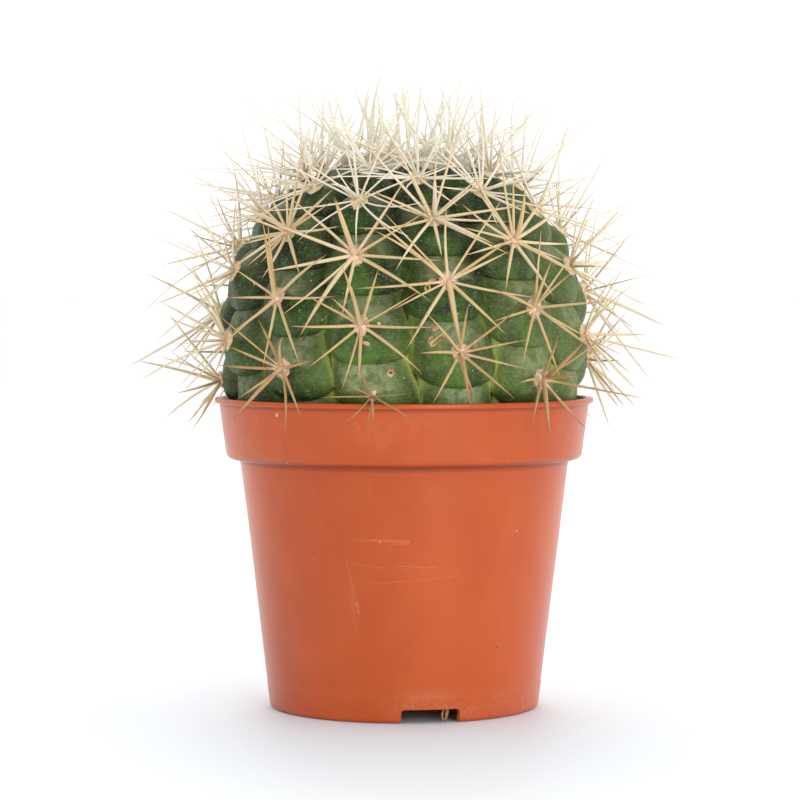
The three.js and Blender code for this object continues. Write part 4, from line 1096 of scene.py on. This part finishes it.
profile = np.vstack([
    [[inner_foot(0.3), 0.3], [39.98, 0.08], [40.15, 0]],
    bend(wall_radius(FOOT_ROUND) - FOOT_ROUND, FOOT_ROUND, FOOT_ROUND, -90, 0, 8),
    straight(wall_radius, FOOT_ROUND, 8.0, 5),
    [[wall_radius(8.0), 8.0], [wall_radius(8.4) - MOULD_LINE, 8.5]],
    straight(lambda z: wall_radius(z) - MOULD_LINE * (z < 76), 8.5, 78.2, 26),
    bend(wall_radius(78.3) + 0.6, LEDGE - 0.6, 0.6, 180, 90, 4),
    bend(COLLAR_EDGE - COLLAR_ROUND, LEDGE + COLLAR_ROUND, COLLAR_ROUND, -90, 0, 8),
    straight(collar_radius, LEDGE + COLLAR_ROUND, 96.2, 9),
    bend(collar_radius(96.3) + 0.3, 96.3, 0.3, 180, 90, 3),
    bend(LIP - 0.5, 97.1, 0.5, -90, 0, 4),
    bend(LIP - 0.5, POT_TOP - 0.5, 0.5, 0, 90, 4),
    bend(collar_inside(POT_TOP) + 0.35, POT_TOP - 0.35, 0.35, 90, 180, 3),
    straight(collar_inside, POT_TOP - 0.35, 80.4, 6),
    bend(collar_inside(80.4) - 0.4, 80.4, 0.4, 0, -90, 3),
    bend(wall_inside(80) + 0.4, 79.6, 0.4, 90, 180, 3),
    straight(wall_inside, 79.6, 7.4, 12),
    bend(wall_inside(7.4) - 1, 7.4, 1, 0, -90, 4),
    [[33, FLOOR_TOP], [20, FLOOR_TOP], [8, FLOOR_TOP]],
    bend(HOLE, FLOOR_TOP - 0.3, 0.3, 90, 180, 2),
    bend(HOLE, FLOOR_UNDER + 0.3, 0.3, 180, 270, 2),
    [[8, FLOOR_UNDER], [20, FLOOR_UNDER], [33, FLOOR_UNDER], [inner_foot(5) - 0.6, FLOOR_UNDER]],
    [[inner_foot(z), z] for z in (4.9, 3.6, 2.3, 1.1)],
])
print("pot profile:", len(profile), "points; the lip is", 2 * LIP, "mm across")

# %% Pot shape
NOTCH_TURNS, NOTCH_RADIUS, NOTCH_TOP = np.radians([11, 131, 251]), 42.5, 4.91
# The foot edge's height over the distance along the foot from a notch's middle.
edge_s = [0, 3, 6, 7.6, 8.0, 8.42, 8.78, 9.0, 9.08, 9.16, 9.26, 9.45, 9.8, 10.4]
edge_z = [4.2, 4.2, 4.2, 4.2, 4.18, 4.06, 3.8, 3.4, 3.0, 1.2, 0.45, 0.15, 0.03, 0]
turns = np.arange(216) * TAU / 216
for notch in NOTCH_TURNS:
    turns = turns[np.abs(wrapped(turns - notch)) * NOTCH_RADIUS >= 11]
    both = np.concatenate([-np.array(edge_s[:0:-1]), edge_s])
    turns = np.concatenate([turns, (notch + both / NOTCH_RADIUS) % TAU])
turns = np.sort(turns)
edge = np.zeros(len(turns))
for notch in NOTCH_TURNS:
    edge = np.maximum(edge, np.interp(np.abs(wrapped(turns - notch)) * NOTCH_RADIUS, edge_s, edge_z))

r, z = [np.broadcast_to(profile[:, k, None], (len(profile), len(turns))) for k in (0, 1)]
foot = (z < NOTCH_TOP) & (r > 39.5)
lifted = np.where(foot, edge + z * (NOTCH_TOP - edge) / NOTCH_TOP, z)
share = (r - inner_foot(z)) / (wall_radius(z) - inner_foot(z))
pot_r = np.where(foot, inner_foot(lifted) + share * (wall_radius(lifted) - inner_foot(lifted)), r)
pot_points = around(np.broadcast_to(turns, r.shape), pot_r, lifted)
thin_wall = smoothstep(9, 20, z) * smoothstep(POT_TOP, 84, z) * (r > 40)
pot_points[..., :2] *= (1 + 0.0016 * wobble(pot_points, 38, 61) * thin_wall)[..., None]
i, j = np.meshgrid(np.arange(len(profile)), np.arange(len(turns)), indexing="ij")
i_next, j_next = (i + 1) % len(profile), (j + 1) % len(turns)
corners = (i, j), (i, j_next), (i_next, j_next), (i_next, j)
pot_faces = np.stack([a * len(turns) + b for a, b in corners], -1)
print("the pot's profile is turned to", len(turns), "columns")

# %% [markdown]
# ## The pot's finish
# Moulded plastic is even, with a satin gloss. What makes it real is small: faint clouds and flow lines,
# dust on the collar and round the foot, rubbed patches, and fine scratches, which are put where the
# photograph shows them. Thin dark bands on the wall under the lip and under the collar are painted shade
# from those overhangs.

# %% Places of the scratches
SCRATCHES = [  # on the pot's front: x and z of both ends and half the width in millimetres, and strength
    (-16.6, 56.5, -10.8, 56.5, 0.35, 0.5), (-10.6, 56.6, 1.4, 56.5, 0.5, 1.0),
    (-3.0, 55.7, 1.2, 55.9, 0.9, 0.5), (-10.9, 43.2, 4.0, 44.4, 0.3, 0.5),
    (2.0, 44.2, 16.9, 45.8, 0.24, 0.6), (-1.8, 48.8, 10.3, 48.3, 0.26, 0.7),
    (-16.3, 49.4, -6.6, 48.2, 0.3, 0.5), (-17.4, 50.0, -15.6, 40.7, 0.45, 0.5),
    (-15.6, 40.7, -15.4, 32.8, 0.3, 0.6), (-15.4, 32.8, -13.9, 27.4, 0.3, 0.5),
    (-14.4, 37.2, -13.9, 34.0, 0.8, 1.0), (-28.1, 51.2, -26.3, 49.1, 0.3, 0.7),
]
print("scratches to place:", len(SCRATCHES))

# %% Pot finish
plastic = Finish("terracotta_plastic", Specular_IOR_Level=0.36, Coat_Weight=0.09, Coat_Roughness=0.12)


def rubbed(x, z, half_x, half_z):
    """A mask over a patch on the pot's front: 1 at its middle, 0 at its edge."""
    away = plastic.vector("SUBTRACT", plastic.place, (x * MM, -48 * MM, z * MM))
    away = plastic.vector("MULTIPLY", away, (1 / (half_x * MM), 1 / (30 * MM), 1 / (half_z * MM)))
    return plastic.vector("LENGTH", away, output="Value").step(1, 0.3)


haze, patches, grain = plastic.noise(60, 3), plastic.noise(14, 4), plastic.noise(0.35, 2)
flow, level = plastic.noise(6, 3, 0.6, plastic.stretched(3, 3, 0.35)), plastic.axis("Z")
dusty = patches.step(0.38, 0.7) * haze.step(0.36, 0.64) * plastic.noise(1.1, 3, 0.7).step(0.4, 0.62)
collar_dust = level.step(78, 82) * level.step(97, 92) * dusty
# Painted shade: thin dark bands on the wall just under the collar and just under the lip, where the overhangs
# shade it.
painted_shade_under_collar = level.step(76.9, 78.3) * level.step(80.3, 79.2)
painted_shade_under_lip = level.step(95.3, 96.1) * level.step(96.9, 96.5) * 0.8

along = plastic.noise(0.8, 2, 0.5, plastic.stretched(0.22, 0.22, 2.2)).step(0.6, 0.7)
upright = plastic.noise(0.9, 2, 0.5, plastic.stretched(1.6, 1.6, 0.16)).step(0.62, 0.7)
gritty = plastic.noise(0.5, 2, 0.7).step(0.36, 0.6)
flat_place = plastic.stretched(1, 0, 1)
scratches = reduce(Wire.max, [
    plastic.near((x1, 0, z1), (x2, 0, z2), flat_place).step(half, half * 0.1) * strength
    for x1, z1, x2, z2, half, strength in SCRATCHES
])
scuffs = (rubbed(3, 48, 12, 3.2) * along * 0.6).max(rubbed(-15.5, 37, 1.8, 10) * (0.12 + 0.5 * upright))
scuffs = scuffs.max(patches.step(0.6, 0.72) * along * 0.25)
scuffs = scuffs.max(scratches * gritty * plastic.axis("Y").step(0, -20))
dark_dots = plastic.scattered(7, (0.05, 0.03), (0.12, 0.1)) + plastic.near((29.8, -36, 15.6)).step(0.7, 0.3)
lime = plastic.near((-38.6, -43.7, 94.3)) + (grain - 0.5) * 0.8
body = plastic.paint(
    rgb(186, 76, 21),
    (rgb(198, 84, 27), haze.step(0.35, 0.65)),
    (rgb(198, 92, 38), patches.step(0.45, 0.75) * 0.3 + flow.step(0.5, 0.8) * 0.25),
    (rgb(200, 136, 110), collar_dust * 0.35 + dusty * level.step(12, 4) * 0.35),
    (rgb(216, 140, 108), scuffs * 0.55),
    # painted shade under the collar and under the lip
    (rgb(120, 44, 20), painted_shade_under_collar.max(painted_shade_under_lip) * 0.6),
    (rgb(238, 196, 172), plastic.scattered(7, (0.05, 0.03), (0.8, 0.82)) * 0.55),
    (rgb(92, 40, 24), dark_dots),
    (rgb(206, 190, 180), lime.step(0.7, 0.35) * 0.9),
)
shine = 0.26 + 0.1 * patches + 0.16 * scuffs + 0.1 * collar_dust
plastic_bump = plastic.bump(grain * 0.6 + flow * 0.4, 0.035)
plastic_finish = plastic.wire(Base_Color=body, Roughness=shine, Normal=plastic_bump)
print("pot finish has", len(plastic.tree.nodes), "nodes")

# %% Pot piece
pot_shape = pot_points.reshape(-1, 3), pot_faces.reshape(-1, 4).tolist()
pot = add_piece("pot_shell", pot_shape, plastic_finish, ["pot"])
CUT_CORNERS, CUT_AWAY = 24, 37  # a cutter's corners, and how far its middle is from the axis
CUT_LONG, CUT_WIDE, CUT_ROUND = 6.3, 1.6, 2  # half its straight sides, and the radius of its corners


def slot_cutters():
    """Three rounded blocks that run through the floor, behind the notches."""
    points, faces = [], []
    corner = np.radians((np.arange(CUT_CORNERS) + 0.5) * 360 / CUT_CORNERS)
    x = np.sign(np.cos(corner)) * CUT_LONG + CUT_ROUND * np.cos(corner)
    y = np.sign(np.sin(corner)) * CUT_WIDE + CUT_ROUND * np.sin(corner) - CUT_AWAY
    for k, notch in enumerate(NOTCH_TURNS):
        turned_x = x * math.cos(notch) - y * math.sin(notch)
        turned_y = x * math.sin(notch) + y * math.cos(notch)
        points += [np.column_stack([turned_x, turned_y, np.full(CUT_CORNERS, height)]) for height in (3, 9)]
        low = 2 * CUT_CORNERS * k
        high = low + CUT_CORNERS
        faces += grid_faces(2, CUT_CORNERS, low, upward=True)
        faces += [list(range(high - 1, low - 1, -1)), list(range(high, high + CUT_CORNERS))]
    return np.vstack(points), faces


cutter_points, cutter_faces = slot_cutters()
cutter_mesh = bpy.data.meshes.new("slots")
cutter_mesh.from_pydata((cutter_points * MM).tolist(), [], cutter_faces)
cutter = bpy.data.objects.new("slots", cutter_mesh)
bpy.context.scene.collection.objects.link(cutter)
cut = pot.modifiers.new("slots", "BOOLEAN")
cut.operation, cut.object, cut.solver = "DIFFERENCE", cutter, "EXACT"
bpy.context.view_layer.update()
pot_cut = bpy.data.meshes.new_from_object(pot.evaluated_get(bpy.context.evaluated_depsgraph_get()))
pot.modifiers.clear()
pot.data = pot_cut
pot_cut.set_sharp_from_angle(angle=math.radians(50))
bpy.data.objects.remove(cutter)
print("pot after the cut:", len(pot.data.vertices), "points")

# %% [markdown]
# ## Soil and roots
# Only a dark gap at the rim and the undersides of the drain slots show the peaty soil, and one thin
# root has found its way out of the front slot. Both are still whole: the soil is a turned solid with a
# crumbly top, and the roots are tubes along smooth curves.

# %% Soil
GAP, SOIL_TOP, BOWL_FLOOR, SOIL_SIDES, CRUMBS = 0.45, 88.6, 71.2, 240, 500
BOWL_INSET = 2.5  # the stem stands in a bowl: its outline, moved inwards
shelf, soil_floor = LEDGE + WALL + GAP, FLOOR_TOP + GAP
mouth_z = np.linspace(88.3, 72.6, 16)
bowl_row = np.searchsorted(-line_z[900:], -mouth_z) + 900
bowl_r = line_radius[bowl_row] + BOWL_INSET * slope_z[bowl_row]
bowl_z = line_z[bowl_row] - BOWL_INSET * slope_r[bowl_row]
bowl = np.column_stack([bowl_r, bowl_z])[bowl_z < 87.6]
soil_profile = np.vstack([
    [[0.5, soil_floor], [12, soil_floor], [30, soil_floor], [wall_inside(7) - GAP, soil_floor]],
    straight(lambda z: wall_inside(z) - GAP, 7, shelf, 12),
    [[wall_inside(shelf) - GAP, shelf], [collar_inside(shelf) - GAP, shelf]],
    straight(lambda z: collar_inside(z) - GAP, shelf, 88, 4),
    [[collar_inside(88) - GAP, 88.0], [55.6, 88.5], [54.9, SOIL_TOP], [54.2, SOIL_TOP]],
    bowl,
    [[0.5, BOWL_FLOOR]],
])
r, z = [np.broadcast_to(soil_profile[:, k, None], (len(soil_profile), SOIL_SIDES)) for k in (0, 1)]
soil_points = around(np.broadcast_to(np.arange(SOIL_SIDES) * TAU / SOIL_SIDES, r.shape), r, z)
crumbly = 0.25 * (wobble(soil_points, 3, 71) + wobble(soil_points, 1.3, 72) - 1)
soil_points[..., 2] += crumbly * smoothstep(86, 88, z)
soil_bulk = capped(soil_points, [0, 0, soil_floor], [0, 0, BOWL_FLOOR], upward=True)

draw = np.random.default_rng(73)
crumb_turn, crumb_r = draw.uniform(0, TAU, CRUMBS), draw.uniform(54.4, 55.9, CRUMBS)
crumb = around(crumb_turn, crumb_r, SOIL_TOP)
crumb_way = unit(draw.normal(size=crumb.shape))
crumb_size = draw.uniform(0.25, 0.6, CRUMBS)
half_way = crumb_way * crumb_size[:, None]
ends = crumb - half_way, crumb + half_way
grit, _, rod = rods(*ends, 0 * crumb, crumb_size, np.full(CRUMBS, 0.8), 3, 5, 2.0)
pale = np.append(np.zeros(len(soil_bulk[0])), (draw.random(CRUMBS) < 0.08)[rod])

earth = Finish("peaty_soil", Specular_IOR_Level=0.15)
clods, fibres = earth.noise(2.2, 5, 0.65), earth.cells(1.2)
body = earth.paint(
    rgb(38, 27, 20),
    (rgb(82, 60, 42), clods.step(0.4, 0.7)),
    (rgb(24, 16, 12), fibres.step(0.35, 0.1)),
    (rgb(206, 200, 188), earth.values("pale")[0]),
)
crumbled = earth.bump(clods + fibres, 0.6)
earth_finish = earth.wire(Base_Color=body, Roughness=0.85 + 0.12 * clods, Normal=crumbled)
add_piece("soil_body", joined(soil_bulk, grit), earth_finish, ["soil"], {"pale": pale})

# %% Roots


def root_tube(points, radii, seed, steps=40, sides=10):
    """A tapering tube along a smooth curve through points. Between two points the curve is the cubic
    whose slope at each end is half the way between that point's neighbours."""
    points = np.array(points, float)
    padded = np.vstack([2 * points[0] - points[1], points, 2 * points[-1] - points[-2]])
    s = np.linspace(0, len(points) - 1 - 1e-9, steps)
    k, t = s.astype(int), (s % 1)[:, None]
    p0, p1, p2, p3 = (padded[k + shift] for shift in range(4))
    square, cube = 2 * p0 - 5 * p1 + 4 * p2 - p3, 3 * p1 - p0 - 3 * p2 + p3
    curve = 0.5 * (2 * p1 + (p2 - p0) * t + square * t**2 + cube * t**3)
    way = unit(np.gradient(curve, axis=0))
    one = unit(np.cross(way, [0.3, 0.9, 0.1]))
    two = np.cross(way, one)
    angle = np.arange(sides) * TAU / sides
    rim = one[:, None] * np.cos(angle)[:, None] + two[:, None] * np.sin(angle)[:, None]
    radius = np.interp(s, np.arange(len(radii)), radii)[:, None, None]
    tube = curve[:, None] + rim * radius
    tube += rim * radius * 0.16 * wobble(tube, 2.5, seed)[..., None]
    return capped(tube, *(curve[[0, -1]] - way[[0, -1]] * [[0.3], [-0.3]]), upward=True)


runs = [([(0, 0, 71.4), (0.5, 0, 63.7), (-1, 1, 46), (1, 0, 24)], [8.8, 5.6, 3.8, 2.0])]
for k in range(5):
    way, start = around(np.array(math.radians(200 + 72 * k))), 58 - 5 * k
    route = [way * reach + [0, 0, start - fall] for reach, fall in ((0, 0), (14, 5), (27, 16), (33, 24))]
    runs.append((route, [1.9, 1.6, 1.2, 0.8]))
rootlet = [(0, 0, 33), (8, -20, 24), (13, -35.6, 12), (13.1, -37, 4), (12.7, -36.8, 0.6)]
fine_root = [(13.2, -36.9, 6.5), (12.2, -37.8, 4.2), (11.6, -38.4, 2.2), (11.9, -38.9, 0.6)]
runs += [(rootlet, [1.6, 1.3, 0.95, 0.7, 0.4]), (fine_root, [0.45, 0.35, 0.3, 0.2])]
bark = Finish("pale_root_bark", Specular_IOR_Level=0.2)
rings, spots = bark.noise(1.2, 3, 0.6, bark.stretched(0.5, 0.5, 2)), bark.noise(4, 2)
body = bark.paint(rgb(206, 178, 118), (rgb(158, 122, 72), rings.step(0.35, 0.65)),
                  (rgb(96, 70, 44), spots.step(0.55, 0.75) * 0.6))
bark_finish = bark.wire(Base_Color=body, Roughness=0.7 + 0.2 * rings, Normal=bark.bump(rings, 0.2))
root_shape = joined(*(root_tube(route, radii, 80 + k) for k, (route, radii) in enumerate(runs)))
add_piece("root_system", root_shape, bark_finish, ["roots"])

# %% [markdown]
